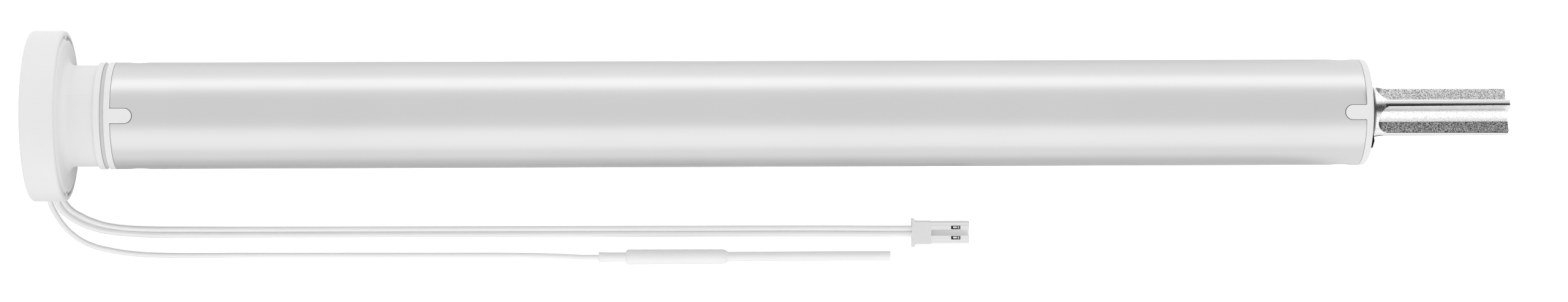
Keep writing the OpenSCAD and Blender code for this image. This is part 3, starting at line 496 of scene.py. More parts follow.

# %% [markdown]
# ## Finishes that cover only some faces
# The shaft has seven finishes. Its bright cast zinc is the slot's own, and six more are for the flank of a
# wing that is painted lit and the flank that is painted in shade, the flank that slides out of the die, the
# rubbed outer faces, the edge beside a shaded flank, painted dark as shade, and the foot of the collar,
# painted
# darker as shade. The plug gets two more: mottled nylon on top of its rear block, and tin painted dark as
# shade in the boxes of its contacts.

# %% Extra finishes
GRAIN_FROM = (355.0, 356.2)
MOTTLED_NYLON = moulded_plastic("mottled_nylon", "#f0f0f0", 0.5, grain_mm=0.8, depth_mm=0.25)
SHADED_TIN = drawn_metal("shaded_tin", "#3c3c3d", 0.4, length_mm=2.0)
# The lit and the shaded flank are one cast zinc. Only their pits differ, painted lighter and darker as light
# and shade.
ZINC_PAINTED_LIT_FLANK = pitted_metal(
    "zinc_painted_lit_flank", "#ebebeb", "#6e6e6e", 0.46, 0.38, 0.3, 0.08, run_out=GRAIN_FROM, edge=0.14
)
ZINC_PAINTED_SHADE_FLANK = pitted_metal(
    "zinc_painted_shade_flank", "#f4f4f4", "#242424", 0.50, 0.42, 0.3, 0.08, run_out=GRAIN_FROM, edge=0.14
)
ZINC_DRAWN_FLANK = pitted_metal(
    "zinc_drawn_flank", "#ffffff", "#f4f4f4", 0.45, 0.30, grain_mm=0.5, depth_mm=0.015, edge=0.2
)
ZINC_TIP = drawn_metal(
    "rubbed_zinc", "#dedede", 0.16, streak_mm=0.16, length_mm=4.0, depth_mm=0.012, change=0.07
)
# Edge beside the shaded flank, painted dark as shade in the corner.
ZINC_PAINTED_SHADE_EDGE = drawn_metal("zinc_painted_shade_edge", "#505051", 0.4, length_mm=2.0)
# Foot of the collar beside the cap, painted a darker grey as shade.
ZINC_PAINTED_SHADE_FOOT = drawn_metal("zinc_painted_shade_foot", "#8c8c8c", 0.4, length_mm=2.0)
SHAFT_FINISHES = (ZINC_PAINTED_LIT_FLANK, ZINC_PAINTED_SHADE_FLANK, ZINC_TIP, ZINC_DRAWN_FLANK, ZINC_PAINTED_SHADE_EDGE, ZINC_PAINTED_SHADE_FOOT)
print("materials so far:", len(bpy.data.materials))

# %% [markdown]
# ## The cords
# Two supply leads and an antenna wire leave the drum side by side, drop to the floor and run beside the tube.
# They are limp round wires, so a curve through a few points with a round bevel is the honest way to make
# them. The points are the ones that the CAD tubes follow, in millimetres. The two supply leads are laid side
# by side here until they all but touch, as a twin lead does, which gives the dark line between them.

# %% Cords
LEAD_A_ROUTE = [
    (4.25, -15.5, -15.5), (4.25, -16.5, -16.5), (4.2, -17.9, -17.9), (4.1, -19.3, -19.2),
    (4.1, -20.8, -20.5), (4.1, -22.3, -21.3), (5.1, -24.0, -21.45), (6.1, -25.1, -21.45),
    (7.5, -26.1, -21.45), (9.0, -26.9, -21.45), (10.5, -27.7, -21.45), (12.1, -28.3, -21.45),
    (14.5, -29.12, -21.45), (17.5, -29.74, -21.45), (21.0, -30.16, -21.45),
    (26.6, -30.46, -21.45), (36.0, -30.56, -21.45), (69.0, -30.66, -21.45),
    (118.0, -30.76, -21.45), (168.0, -30.86, -21.45), (212.0, -30.96, -21.45),
    (222.0, -31.06, -21.2), (229.0, -31.06, -20.4), (232.6, -31.06, -20.4),
]  # fmt: skip
LEAD_B_ROUTE = [
    (2.6, -15.5, -15.5), (2.6, -16.5, -16.5), (2.5, -17.9, -17.9), (2.4, -19.4, -19.3),
    (2.4, -21.0, -20.6), (2.6, -22.8, -21.35), (3.7, -25.0, -21.45), (4.9, -26.3, -21.45),
    (6.5, -27.5, -21.45), (8.2, -28.5, -21.45), (9.9, -29.3, -21.45), (11.5, -29.88, -21.45),
    (14.0, -30.64, -21.45), (17.2, -31.21, -21.45), (20.8, -31.59, -21.45),
    (26.6, -31.97, -21.45), (36.0, -32.07, -21.45), (69.0, -32.17, -21.45),
    (118.0, -32.27, -21.45), (168.0, -32.37, -21.45), (212.0, -32.47, -21.45),
    (222.0, -32.57, -21.2), (229.0, -32.57, -20.4), (232.6, -32.57, -20.4),
]  # fmt: skip
ANTENNA_ROUTE = [
    (0.9, -15.5, -15.5), (0.9, -16.5, -16.5), (0.8, -18.0, -18.0), (0.6, -19.6, -19.5),
    (0.5, -21.3, -20.8), (0.7, -23.2, -21.4), (1.4, -25.0, -21.5), (2.4, -26.8, -21.5),
    (3.7, -28.7, -21.5), (5.3, -30.6, -21.5), (6.9, -32.0, -21.5), (8.7, -33.3, -21.5),
    (11.8, -34.8, -21.5), (16.7, -36.1, -21.5), (23.2, -37.1, -21.5), (30.0, -37.5, -21.5),
    (53.0, -37.6, -21.5), (102.0, -37.8, -21.5), (130.0, -38.0, -21.5),
    (139.0, -38.3, -21.2), (145.0, -38.5, -20.15), (147.7, -38.5, -20.15),
]  # fmt: skip
ANTENNA_TUBE_ROUTE = [
    (182.5, -38.5, -20.15), (185.5, -38.5, -20.15), (190.0, -38.5, -20.3),
    (196.0, -38.5, -20.6), (203.0, -38.5, -20.85), (214.0, -38.5, -20.9),
    (226.5, -38.5, -20.9),
]  # fmt: skip


def cord_piece(name, route_mm, diameter_mm, node, slot):
    """Round cord along a route, as a curve with one open spline."""
    curve = bpy.data.curves.new(name, "CURVE")
    curve.dimensions = "3D"
    curve.bevel_depth = diameter_mm * MM / 2
    curve.bevel_resolution = 6
    curve.resolution_u = 8
    curve.use_fill_caps = True
    spline = curve.splines.new("BEZIER")
    spline.bezier_points.add(len(route_mm) - 1)
    for point, place in zip(spline.bezier_points, route_mm):
        point.co = Vector(place) * MM
        point.handle_left_type = point.handle_right_type = "AUTO"
    curve.materials.append(FINISH[slot])
    piece = bpy.data.objects.new(name, curve)
    scene.collection.objects.link(piece)
    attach(piece, HOUSING)
    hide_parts(node)
    return piece


def route_length(route_mm):
    return sum((Vector(b) - Vector(a)).length for a, b in zip(route_mm, route_mm[1:])) * MM


LEAD_MM, ANTENNA_MM, ANTENNA_TUBE_MM = 1.5, 1.35, 2.6
lead_a = cord_piece("supply_lead_near", LEAD_A_ROUTE, LEAD_MM, "lead_wire_a", "lead_white")
lead_b = cord_piece("supply_lead_far", LEAD_B_ROUTE, LEAD_MM, "lead_wire_b", "lead_white")
antenna = cord_piece("antenna_cord", ANTENNA_ROUTE, ANTENNA_MM, "antenna_wire", "lead_white")
antenna_end = cord_piece("antenna_end", ANTENNA_TUBE_ROUTE, ANTENNA_TUBE_MM, "antenna_tube", "lead_white")
for cord, route in ((lead_a, LEAD_A_ROUTE), (lead_b, LEAD_B_ROUTE), (antenna, ANTENNA_ROUTE)):
    print(cord.name, round(route_length(route), 4), "m")

# %% [markdown]
# ## Rolling a sheet into a turned piece
# Every round shell of this motor is a half outline carried round the axis. A flat grid does that job well:
# its rows follow the outline, its columns go round, and bending it closed gives full control over where
# columns lie. That is what a moulding's parting line needs, because it is a ridge 0.16 mm wide. Pieces are
# built in millimetres about the motor's axis and scaled to metres once at the end.

# %% Outlines and columns
PARTING_DEG = 24.5
PARTING_W, PARTING_H = 0.16, 0.04


def arc(centre, radius, start, end, steps=6):
    """Points (station, radius) on an arc, with angles in degrees from +X."""
    angles = [math.radians(start + (end - start) * k / steps) for k in range(steps + 1)]
    return [(centre[0] + radius * math.cos(a), centre[1] + radius * math.sin(a)) for a in angles]


def even_columns(count):
    return [math.tau * k / count for k in range(count + 1)]


def parted_columns(count, radius):
    """Even columns, with three more at each parting line. Angles run from the top towards +Y."""
    seams = [math.radians(PARTING_DEG + half) for half in (0, 180)]
    thin = PARTING_W / 2 / radius
    plain = [a for a in even_columns(count)[:-1] if all(abs(a - s) > 2 * thin for s in seams)]
    angles = sorted(plain + [s + d for s in seams for d in (-thin, 0, thin)])
    return angles + [angles[0] + math.tau], seams


def roll_up(rows, angles, seams=(), seam_rows=()):
    """Bends a grid round the X axis: a row for each (station, radius), a column for each angle."""
    bm = bmesh.new()
    across, around = len(rows) - 1, len(angles) - 1
    bmesh.ops.create_grid(bm, x_segments=across, y_segments=around, size=1.0)
    for vert in bm.verts:
        row = round((vert.co.x + 1) / 2 * across)
        column = round((vert.co.y + 1) / 2 * around)
        x, r = rows[row]
        if row in seam_rows and any(abs(angles[column] - s) < 1e-6 for s in seams):
            r += PARTING_H
        vert.co = (x, r * math.sin(angles[column]), r * math.cos(angles[column]))
    close_up(bm)
    return bm


def hoop(x0, x1, inner_r, outer_r):
    """Ring with a plain rectangular section."""
    section = [(x0, inner_r), (x0, outer_r), (x1, outer_r), (x1, inner_r), (x0, inner_r)]
    return roll_up(section, even_columns(96))


# %% [markdown]
# ## Closing, joining and rounding
# A rolled grid still has to be closed where its ends meet. Pieces that are moulded in one are joined into one
# mesh, and only edges at which the surface really turns are rounded, because no moulded or stamped edge is
# perfectly sharp.

# %% Closing, joining and rounding


def close_up(bm):
    bmesh.ops.remove_doubles(bm, verts=bm.verts, dist=0.002)
    bmesh.ops.dissolve_degenerate(bm, edges=bm.edges, dist=0.0005)
    bmesh.ops.recalc_face_normals(bm, faces=bm.faces)


def add_to(bm, other):
    """Adds another bmesh to this one."""
    passing = bpy.data.meshes.new("passing")
    other.to_mesh(passing)
    other.free()
    bm.from_mesh(passing)
    bpy.data.meshes.remove(passing)


def round_edges(bm, width_mm, least_angle=35.0, segments=2, wanted=None, clamp=True):
    """Rounds every edge at which the surface turns by more than least_angle."""
    sharp = [
        e
        for e in bm.edges
        if len(e.link_faces) == 2
        and e.calc_face_angle() > math.radians(least_angle)
        and (wanted is None or wanted(e))
    ]
    bmesh.ops.bevel(
        bm,
        geom=sharp,
        offset=width_mm,
        affect="EDGES",
        segments=segments,
        profile=0.5,
        material=-1,
        clamp_overlap=clamp,
    )


# %% [markdown]
# ## From bmesh to a piece of the motor
# A finished piece needs metres, smooth shading that stops at its edges, the finish of its slot, the body it
# rides on and the CAD nodes it replaces. One function does all that, so no piece can miss a step. Its
# modifier weighs normals by face area, so flat sides stay flat beside their rounded edges.

# %% Finished pieces


def finish_piece(name, bm, body, slot, replaces=(), smooth_angle=40.0):
    """Makes the bmesh an object of the motor, in metres, with a smooth surface and its slot's finish."""
    bmesh.ops.scale(bm, vec=(MM, MM, MM), verts=bm.verts)
    mesh = bpy.data.meshes.new(name)
    bm.to_mesh(mesh)
    bm.free()
    mesh.shade_smooth()
    mesh.set_sharp_from_angle(angle=math.radians(smooth_angle))
    if not mesh.materials:
        mesh.materials.append(FINISH[slot])
    piece = bpy.data.objects.new(name, mesh)
    scene.collection.objects.link(piece)
    even = piece.modifiers.new("flat_sides_stay_flat", "WEIGHTED_NORMAL")
    even.keep_sharp = True
    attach(piece, body)
    if replaces:
        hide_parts(*replaces)
    print(name, len(mesh.polygons), "faces")
    return piece


# %% [markdown]
# ## Cutting holes
# Holes, notches and flutes are cut with the Boolean modifier, because the real ones are formed by a pin or a
# slide that is subtracted from the cavity. The cutter is deleted after the cut, and the rim of each cut is
# rounded with the other sharp edges.

# %% Cutters


def turned(bm, angle_deg, axis="X"):
    """Turns a bmesh about an axis through the origin and gives it back."""
    turn = Matrix.Rotation(math.radians(angle_deg), 3, axis)
    bmesh.ops.rotate(bm, cent=(0, 0, 0), matrix=turn, verts=bm.verts)
    return bm


def extruded(outline, push):
    """Solid that a closed outline of points sweeps when it is pushed by a vector."""
    bm = bmesh.new()
    face = bm.faces.new([bm.verts.new(point) for point in outline])
    grown = bmesh.ops.extrude_face_region(bm, geom=[face])
    moved = [v for v in grown["geom"] if isinstance(v, bmesh.types.BMVert)]
    bmesh.ops.translate(bm, vec=push, verts=moved)
    bmesh.ops.recalc_face_normals(bm, faces=bm.faces)
    return bm


def cut(bm, cutters, operation="DIFFERENCE"):
    """Subtracts solids from a solid, or joins or intersects them, and gives back the result."""
    base = bpy.data.objects.new("base", bpy.data.meshes.new("base"))
    bm.to_mesh(base.data)
    bm.free()
    scene.collection.objects.link(base)
    tools = []
    for cutter in cutters:
        tool = bpy.data.objects.new("tool", bpy.data.meshes.new("tool"))
        bmesh.ops.recalc_face_normals(cutter, faces=cutter.faces)
        cutter.to_mesh(tool.data)
        cutter.free()
        scene.collection.objects.link(tool)
        step = base.modifiers.new("cut", "BOOLEAN")
        step.object = tool
        step.operation = operation
        step.solver = "EXACT"
        tools.append(tool)
    bpy.context.view_layer.update()
    shaped = base.evaluated_get(bpy.context.evaluated_depsgraph_get())
    result = bmesh.new()
    result.from_mesh(shaped.to_mesh())
    shaped.to_mesh_clear()
    for thing in [base, *tools]:
        mesh = thing.data
        bpy.data.objects.remove(thing)
        bpy.data.meshes.remove(mesh)
    bmesh.ops.remove_doubles(result, verts=result.verts, dist=0.0005)
    return result


def box_mm(low, high, turn_deg=0.0):
    """Block from corner to corner, turned about the motor's axis from +Y towards +Z."""
    bm = bmesh.new()
    bmesh.ops.create_cube(bm, size=1.0)
    size = Vector(high) - Vector(low)
    bmesh.ops.scale(bm, vec=size, verts=bm.verts)
    bmesh.ops.translate(bm, vec=(Vector(low) + Vector(high)) / 2, verts=bm.verts)
    return turned(bm, turn_deg)


def rod_mm(x0, x1, radius, centre_y=0.0, centre_z=0.0, sides=64):
    """Rod along the motor."""
    bm = bmesh.new()
    bmesh.ops.create_cone(
        bm, cap_ends=True, segments=sides, radius1=radius, radius2=radius, depth=abs(x1 - x0)
    )
    turned(bm, 90, "Y")
    bmesh.ops.translate(bm, vec=((x0 + x1) / 2, centre_y, centre_z), verts=bm.verts)
    return bm


# %% [markdown]
# ## Head
# The drum is a cup, and the plate with the neck and the collar closes it from the tube's side. Two lugs on
# the drum's rim hook over the plate, each in a notch of its own. A fine parting line runs along both, where
# the halves of the mould met.

# %% Sizes of the head
DRUM_W, DRUM_R, DRUM_IN_R, DRUM_EDGE, DRUM_FLOOR = 8.8, 22.4, 21.1, 0.7, 2.0
PLATE_X, PLATE_R, PLATE_T, PLATE_EDGE = 9.2, 20.7, 2.4, 1.4
NECK_R, NECK_FILLET, NECK_IN_R = 13.3, 2.0, 10.9
COLLAR_X, COLLAR_R, COLLAR_CHAMFER = 17.6, 14.05, 0.3
RING_X, PLUG_X = 19.3, 20.4
RING_R, SPIGOT_R, SPIGOT_IN_R, SPIGOT_END, SPIGOT_GAP = 13.65, 10.55, 8.75, 40.0, 0.05
HOLE_CIRCLE_R, HOLE_R = 16.0, 1.75
EXIT_DEG, EXIT_W, EXIT_X = 225.0, 2.2, 5.2
SKIRT_R, SKIRT_WALL, RING_SOFT = 19.02, 1.5, 0.2
LUG_W, LUG_IN_R, LUG_ROUND, NOTCH_ROUND = 2.4, 20.1, 0.35, 0.5
HUB_R, ROUND_MM = 8.0, 0.15

# %% Drum
drum_rows = [(0.0, 0.0), (0.0, HUB_R), (0.0, DRUM_R - DRUM_EDGE)]
drum_rows += arc((DRUM_EDGE, DRUM_R - DRUM_EDGE), DRUM_EDGE, 180, 90, 8)[1:]
drum_rows += arc((DRUM_W - DRUM_EDGE, DRUM_R - DRUM_EDGE), DRUM_EDGE, 90, 0, 8)
drum_rows += [(DRUM_W, DRUM_IN_R), (DRUM_FLOOR, DRUM_IN_R), (DRUM_FLOOR, HUB_R), (DRUM_FLOOR, 0.0)]
columns, seams = parted_columns(216, DRUM_R)
drum_bm = roll_up(drum_rows, columns, seams, range(4, 18))
cutters = []
for k in range(4):
    turn = math.pi / 2 * k
    hole_y, hole_z = HOLE_CIRCLE_R * math.cos(turn), HOLE_CIRCLE_R * math.sin(turn)
    cutters.append(rod_mm(-1, DRUM_FLOOR + 1, HOLE_R, hole_y, hole_z))
cutters.append(box_mm((-1, SKIRT_R, -EXIT_W / 2), (EXIT_X, DRUM_R + 1, EXIT_W / 2), EXIT_DEG))
drum_bm = cut(drum_bm, cutters)
for side in (0, 180):
    low = (DRUM_W - DRUM_EDGE - 1, LUG_IN_R, -LUG_W / 2)
    lug = box_mm(low, (DRUM_W - 0.05, DRUM_IN_R + 0.2, LUG_W / 2), side)
    round_edges(lug, LUG_ROUND, segments=4)
    add_to(drum_bm, lug)


def clear_of_exit(edge):
    """True unless the edge lies at the leads' exit, where long faces that graze the cut would fold over."""
    middle = (edge.verts[0].co + edge.verts[1].co) / 2
    middle = Matrix.Rotation(math.radians(-EXIT_DEG), 3, "X") @ middle
    return middle.y < SKIRT_R - 1 or abs(middle.z) > EXIT_W or middle.x > EXIT_X + 1


round_edges(drum_bm, ROUND_MM, wanted=clear_of_exit)
finish_piece("drum", drum_bm, HOUSING, "white_abs", ["head_drum"])

# %% Plate, neck and collar
body_rows = [(PLATE_X - PLATE_T, NECK_IN_R), (PLATE_X - PLATE_T, PLATE_R)]
body_rows += arc((PLATE_X - PLATE_EDGE, PLATE_R - PLATE_EDGE), PLATE_EDGE, 90, 0, 8)
body_rows += arc((PLATE_X + NECK_FILLET, NECK_R + NECK_FILLET), NECK_FILLET, 180, 270, 8)
body_rows += [(COLLAR_X - 0.02, NECK_R), (COLLAR_X, COLLAR_R - COLLAR_CHAMFER)]
body_rows += arc((COLLAR_X + COLLAR_CHAMFER, COLLAR_R - COLLAR_CHAMFER), COLLAR_CHAMFER, 180, 90, 4)[1:]
body_rows += [(RING_X, COLLAR_R), (RING_X, SPIGOT_R), (SPIGOT_END, SPIGOT_R), (SPIGOT_END, SPIGOT_IN_R)]
body_rows += [(RING_X - 1, SPIGOT_IN_R), (RING_X - 1, NECK_IN_R), (PLATE_X - PLATE_T, NECK_IN_R)]
columns, seams = parted_columns(192, NECK_R)
body_bm = roll_up(body_rows, columns, seams, range(12, 27))
notches = []
for side in (0, 180):
    low = (DRUM_W - DRUM_EDGE - 1.3, LUG_IN_R - 0.4, -LUG_W)
    notches.append(box_mm(low, (PLATE_X + 1, DRUM_R, LUG_W), side))
for notch in notches:
    round_edges(notch, NOTCH_ROUND, segments=4)
body_bm = cut(body_bm, notches)
round_edges(body_bm, ROUND_MM)
skirt = hoop(DRUM_FLOOR, PLATE_X - PLATE_T, PLATE_R - SKIRT_WALL, PLATE_R)
exit_cutter = box_mm((-1, SKIRT_R - SKIRT_WALL, -EXIT_W / 2), (EXIT_X, DRUM_R, EXIT_W / 2), EXIT_DEG)
add_to(body_bm, cut(skirt, [exit_cutter]))
finish_piece("plate_and_neck", body_bm, HOUSING, "white_abs", ["head_body"])

# %% Rubber ring
ring_rows = [(PLUG_X, SPIGOT_R + SPIGOT_GAP), (RING_X, SPIGOT_R + SPIGOT_GAP)]
ring_rows += arc((RING_X + RING_SOFT, RING_R - RING_SOFT), RING_SOFT, 180, 90, 3)
ring_rows += arc((PLUG_X - RING_SOFT, RING_R - RING_SOFT), RING_SOFT, 90, 0, 3) + ring_rows[:1]
ring_bm = roll_up(ring_rows, even_columns(192))
finish_piece("rubber_ring", ring_bm, HOUSING, "grey_rubber", ["isolator_ring"])

# %% [markdown]
# ## Tube, plug and cap
# The tube has a U-shaped slot at each end, and a tab of the plug or the cap fills it, so the three shapes
# share one outline. The tab's round end is a row of the grid that is bent before rolling, and the rows near
# it lean along. The dark line round a tab is not drawn: it is a gap of about a tenth of a millimetre between
# two rounded edges. A punch has dented the tube softly on both sides near each end, to hold the plastic.

# %% Sizes of the shells
TUBE_X, TUBE_END, CAP_X = 22.1, 349.4, 351.4
TUBE_R, TUBE_WALL = 14.0, 1.0
TAB_HALF, TAB_LEN, TAB_STEPS, SLOT_GAP, SEAM_GAP = 1.92, 5.6, 10, 0.11, 0.105
TAB_STRAIGHT = TAB_LEN - TAB_HALF
LEAN_FADES_OVER = 5.0
INSERT_R, INSERT_END = 12.95, 38.0
CRIMP_R, CRIMP_DEPTH = 3.2, 0.2
LEFT_CRIMP_IN, RIGHT_CRIMP_IN = 5.9, 4.6
SHELL_ROUND, TAB_ROOT_ROUND = 0.09, 0.3
print("tube:", round(TUBE_END - TUBE_X, 1), "mm long")

# %% The tab's outline


def tab_columns(half, count=240):
    """Columns that crowd over the tab, so that the tab's round end is smooth."""
    edge = math.asin(half / TUBE_R)
    turns = [math.pi / 2 * k / TAB_STEPS for k in range(-TAB_STEPS, TAB_STEPS + 1)]
    inner = [math.asin(half * math.sin(turn) / TUBE_R) for turn in turns]
    rest = [edge + (math.tau - 2 * edge) * k / count for k in range(1, count)]
    return [*inner, *rest, inner[0] + math.tau]


def round_end(column, half):
    """How far the tab's round end stands beyond its straight sides. The first columns are the tab's."""
    share = abs(column - TAB_STEPS) / TAB_STEPS
    return half * math.cos(math.pi / 2 * min(1.0, share))


def lean(reach):
    """Share of the round end that a row follows, by its distance from the tube's edge."""
    if reach <= TAB_STRAIGHT:
        return max(0.0, reach / TAB_STRAIGHT)
    return max(0.0, 1.0 - (reach - TAB_STRAIGHT) / LEAN_FADES_OVER)


# %% [markdown]
# ## A shell with tabs
# Rows and columns of the grid that make the tab are either the only ones kept beside the ring, for the plug
# and the cap, or the ones left out, for the tube's slot.

# %% Shell with tabs


def crimp_depth(x, angle, crimps):
    """Depth of the dents that a punch leaves on both sides of the tube."""
    side = TUBE_R * math.acos(min(1.0, abs(math.sin(angle))))
    depth = 0.0
    for crimp_x in crimps:
        away = math.hypot(x - crimp_x, side)
        if away < CRIMP_R:
            depth += CRIMP_DEPTH * (0.5 + 0.5 * math.cos(math.pi * away / CRIMP_R))
    return depth


def tabbed_shell(rows, tabs, half, keep_tab, crimps=()):
    """Rolls rows into a shell. Each of tabs is (edge row, row at the tab's end, its direction)."""
    angles = tab_columns(half)
    across, around = len(rows) - 1, len(angles) - 1
    bm = bmesh.new()
    bmesh.ops.create_grid(bm, x_segments=across, y_segments=around, size=1.0)
    place = {
        v: (round((v.co.x + 1) / 2 * across), round((v.co.y + 1) / 2 * around)) for v in bm.verts
    }
    gone = []
    for face in bm.faces:
        face_rows = [place[v][0] for v in face.verts]
        over_tab = max(place[v][1] for v in face.verts) <= 2 * TAB_STEPS
        for edge, end, _ in tabs:
            beside_tab = min(edge, end) <= min(face_rows) and max(face_rows) <= max(edge, end)
            if beside_tab and over_tab != keep_tab:
                gone.append(face)
    for vert, (row, column) in place.items():
        x, r = rows[row]
        angle = angles[column]
        r -= crimp_depth(x, angle, crimps)
        for edge, _, direction in tabs:
            x += direction * lean((rows[row][0] - rows[edge][0]) * direction) * round_end(column, half)
        vert.co = (x, r * math.sin(angle), r * math.cos(angle))
    bmesh.ops.delete(bm, geom=gone, context="FACES")
    close_up(bm)
    return bm


def outward(bm):
    """Turns an open shell so that its faces look away from the axis."""
    facing = sum(f.normal.dot(Vector((0, *f.calc_center_median()[1:]))) * f.calc_area() for f in bm.faces)
    if facing < 0:
        bmesh.ops.reverse_faces(bm, faces=bm.faces)


def at_tab_corner(edge_x):
    """Picks the short edges through the wall where a tab meets its ring."""

    def pick(e):
        a, b = (v.co for v in e.verts)
        along = abs((a - b).x) < 1e-3 and abs(a.x - edge_x) < 1e-3
        return along and a.z > 0 and abs(abs(a.y) - TAB_HALF) < 0.25 and (a - b).length > 0.5

    return pick


def give_wall(bm, wall, *edges_x):
    """Thickens an open shell inwards and rounds its edges, first where a tab meets its ring."""
    outward(bm)
    bmesh.ops.solidify(bm, geom=bm.faces[:], thickness=wall)
    bmesh.ops.recalc_face_normals(bm, faces=bm.faces)
    for edge_x in edges_x:
        round_edges(bm, TAB_ROOT_ROUND, segments=3, wanted=at_tab_corner(edge_x))
    round_edges(bm, SHELL_ROUND)


# %% Tube
near = [0.0, 0.9, 1.8, 2.7, TAB_STRAIGHT, 4.3, 5.1, 5.9, 6.7, 7.5, 8.5, 9.5, 14.0, 20.0]
tab_row = near.index(TAB_STRAIGHT)
tube_rows = [(TUBE_X + s, TUBE_R) for s in near]
tube_rows += [(TUBE_X + (TUBE_END - TUBE_X) * k / 12, TUBE_R) for k in range(1, 12)]
tube_rows += [(TUBE_END - s, TUBE_R) for s in reversed(near)]
last = len(tube_rows) - 1
tube_bm = tabbed_shell(
    tube_rows,
    [(0, tab_row, 1), (last, last - tab_row, -1)],
    TAB_HALF + SLOT_GAP,
    False,
    [TUBE_X + LEFT_CRIMP_IN, TUBE_END - RIGHT_CRIMP_IN],
)
give_wall(tube_bm, TUBE_WALL, TUBE_X, TUBE_END)
finish_piece("aluminium_tube", tube_bm, HOUSING, "satin_aluminium", ["tube"])

# %% Plug
plug_edge = TUBE_X - SEAM_GAP
plug_rows = [(PLUG_X, SPIGOT_R + SPIGOT_GAP), (PLUG_X, COLLAR_R), (plug_edge, COLLAR_R)]
plug_rows += [(plug_edge + TAB_STRAIGHT, TUBE_R)]
plug_bm = tabbed_shell(plug_rows, [(2, 3, 1)], TAB_HALF, True)
give_wall(plug_bm, 1.0, plug_edge)
add_to(plug_bm, hoop(PLUG_X + 1, INSERT_END, SPIGOT_R + SPIGOT_GAP, INSERT_R))
finish_piece("plug_with_tab", plug_bm, HOUSING, "white_abs", ["head_plug"])

# %% Cap
BUSH_R, CAP_EDGE, CAP_IN_X = 8.05, 0.8, 337.4
cap_edge = TUBE_END + SEAM_GAP
cap_rows = [(CAP_X, BUSH_R)] + arc((CAP_X - CAP_EDGE, TUBE_R - CAP_EDGE), CAP_EDGE, 0, 90, 8)
cap_rows += [(cap_edge, TUBE_R), (cap_edge - TAB_STRAIGHT, TUBE_R)]
last = len(cap_rows) - 1
cap_bm = tabbed_shell(cap_rows, [(last - 1, last, -1)], TAB_HALF, True)
give_wall(cap_bm, 1.0, cap_edge)
add_to(cap_bm, hoop(CAP_IN_X, CAP_X - 1, BUSH_R, INSERT_R))
finish_piece("cap_with_tab", cap_bm, HOUSING, "white_abs", ["end_cap"])

# %% [markdown]
# ## Drive shaft
# A round bar of cast zinc with four flutes between four wings. Each flute is cut by a prism whose bottom is a
# shallow arc that meets both flanks at a crease, and which starts in a round when seen from above. After the
# cuts the long edges are rounded, and the faces are sorted into finishes: flanks that the die leaves grainy,
# and everything that wear keeps bright. One flank of each wing is painted darker as shade and the other is
# painted lit, and the edge beside the shaded flank and the foot of the collar are painted dark as shade too.

# %% Sizes of the shaft
SHAFT_R, SHAFT_END, SHAFT_CHAMFER, JOURNAL_X = 6.4, 389.4, 0.35, 337.1
CLIP_X, CLIP_T, CLIP_DEPTH, FLUTE_X = 352.3, 0.7, 0.5, 354.1
WING_T, FLUTE_R, FLUTE_TURN, WING_DEG = 1.85, 2.25, 46.0, 68.0
FLARE, FLARE_LEN, FOOT_LEN = 0.45, 3.0, 0.6
GROOVE_GAP, SHAFT_ROUND, MERGE_MM = 0.05, 0.17, 0.02
flare_r = (FLARE_LEN**2 + FLARE**2) / (2 * FLARE)
flare_from = CLIP_X + CLIP_T
print("flare radius:", round(flare_r, 1), "mm")

# %% Turned bar
WING_COLUMNS_DEG = [-6, -4, -2, 0, 2, 4, 6]
FLUTE_COLUMNS_DEG = [11 + 3.4 * k for k in range(21)]

shaft_rows = [(JOURNAL_X, 0.0), (JOURNAL_X, SHAFT_R), (CLIP_X - GROOVE_GAP, SHAFT_R)]
shaft_rows += [(CLIP_X - GROOVE_GAP, SHAFT_R - CLIP_DEPTH), (flare_from + GROOVE_GAP, SHAFT_R - CLIP_DEPTH)]
for k in range(9):
    along = FLARE_LEN * k / 8
    drop = math.sqrt(max(0.0, flare_r**2 - (FLARE_LEN - along) ** 2))
    shaft_rows.append((flare_from + GROOVE_GAP + along, SHAFT_R + flare_r - drop))
shaft_rows += [(SHAFT_END - SHAFT_CHAMFER, SHAFT_R), (SHAFT_END, SHAFT_R - SHAFT_CHAMFER), (SHAFT_END, 0.0)]
offsets = WING_COLUMNS_DEG + FLUTE_COLUMNS_DEG
shaft_columns = sorted(math.radians(90 * k - WING_DEG + 90 + off) for k in range(4) for off in offsets)
shaft_bm = roll_up(shaft_rows, shaft_columns + [shaft_columns[0] + math.tau])
print("bar:", len(shaft_rows), "rows,", len(shaft_columns), "columns")

# %% Flutes
LONG_EDGE, START_SPARE = 5.0, 0.2


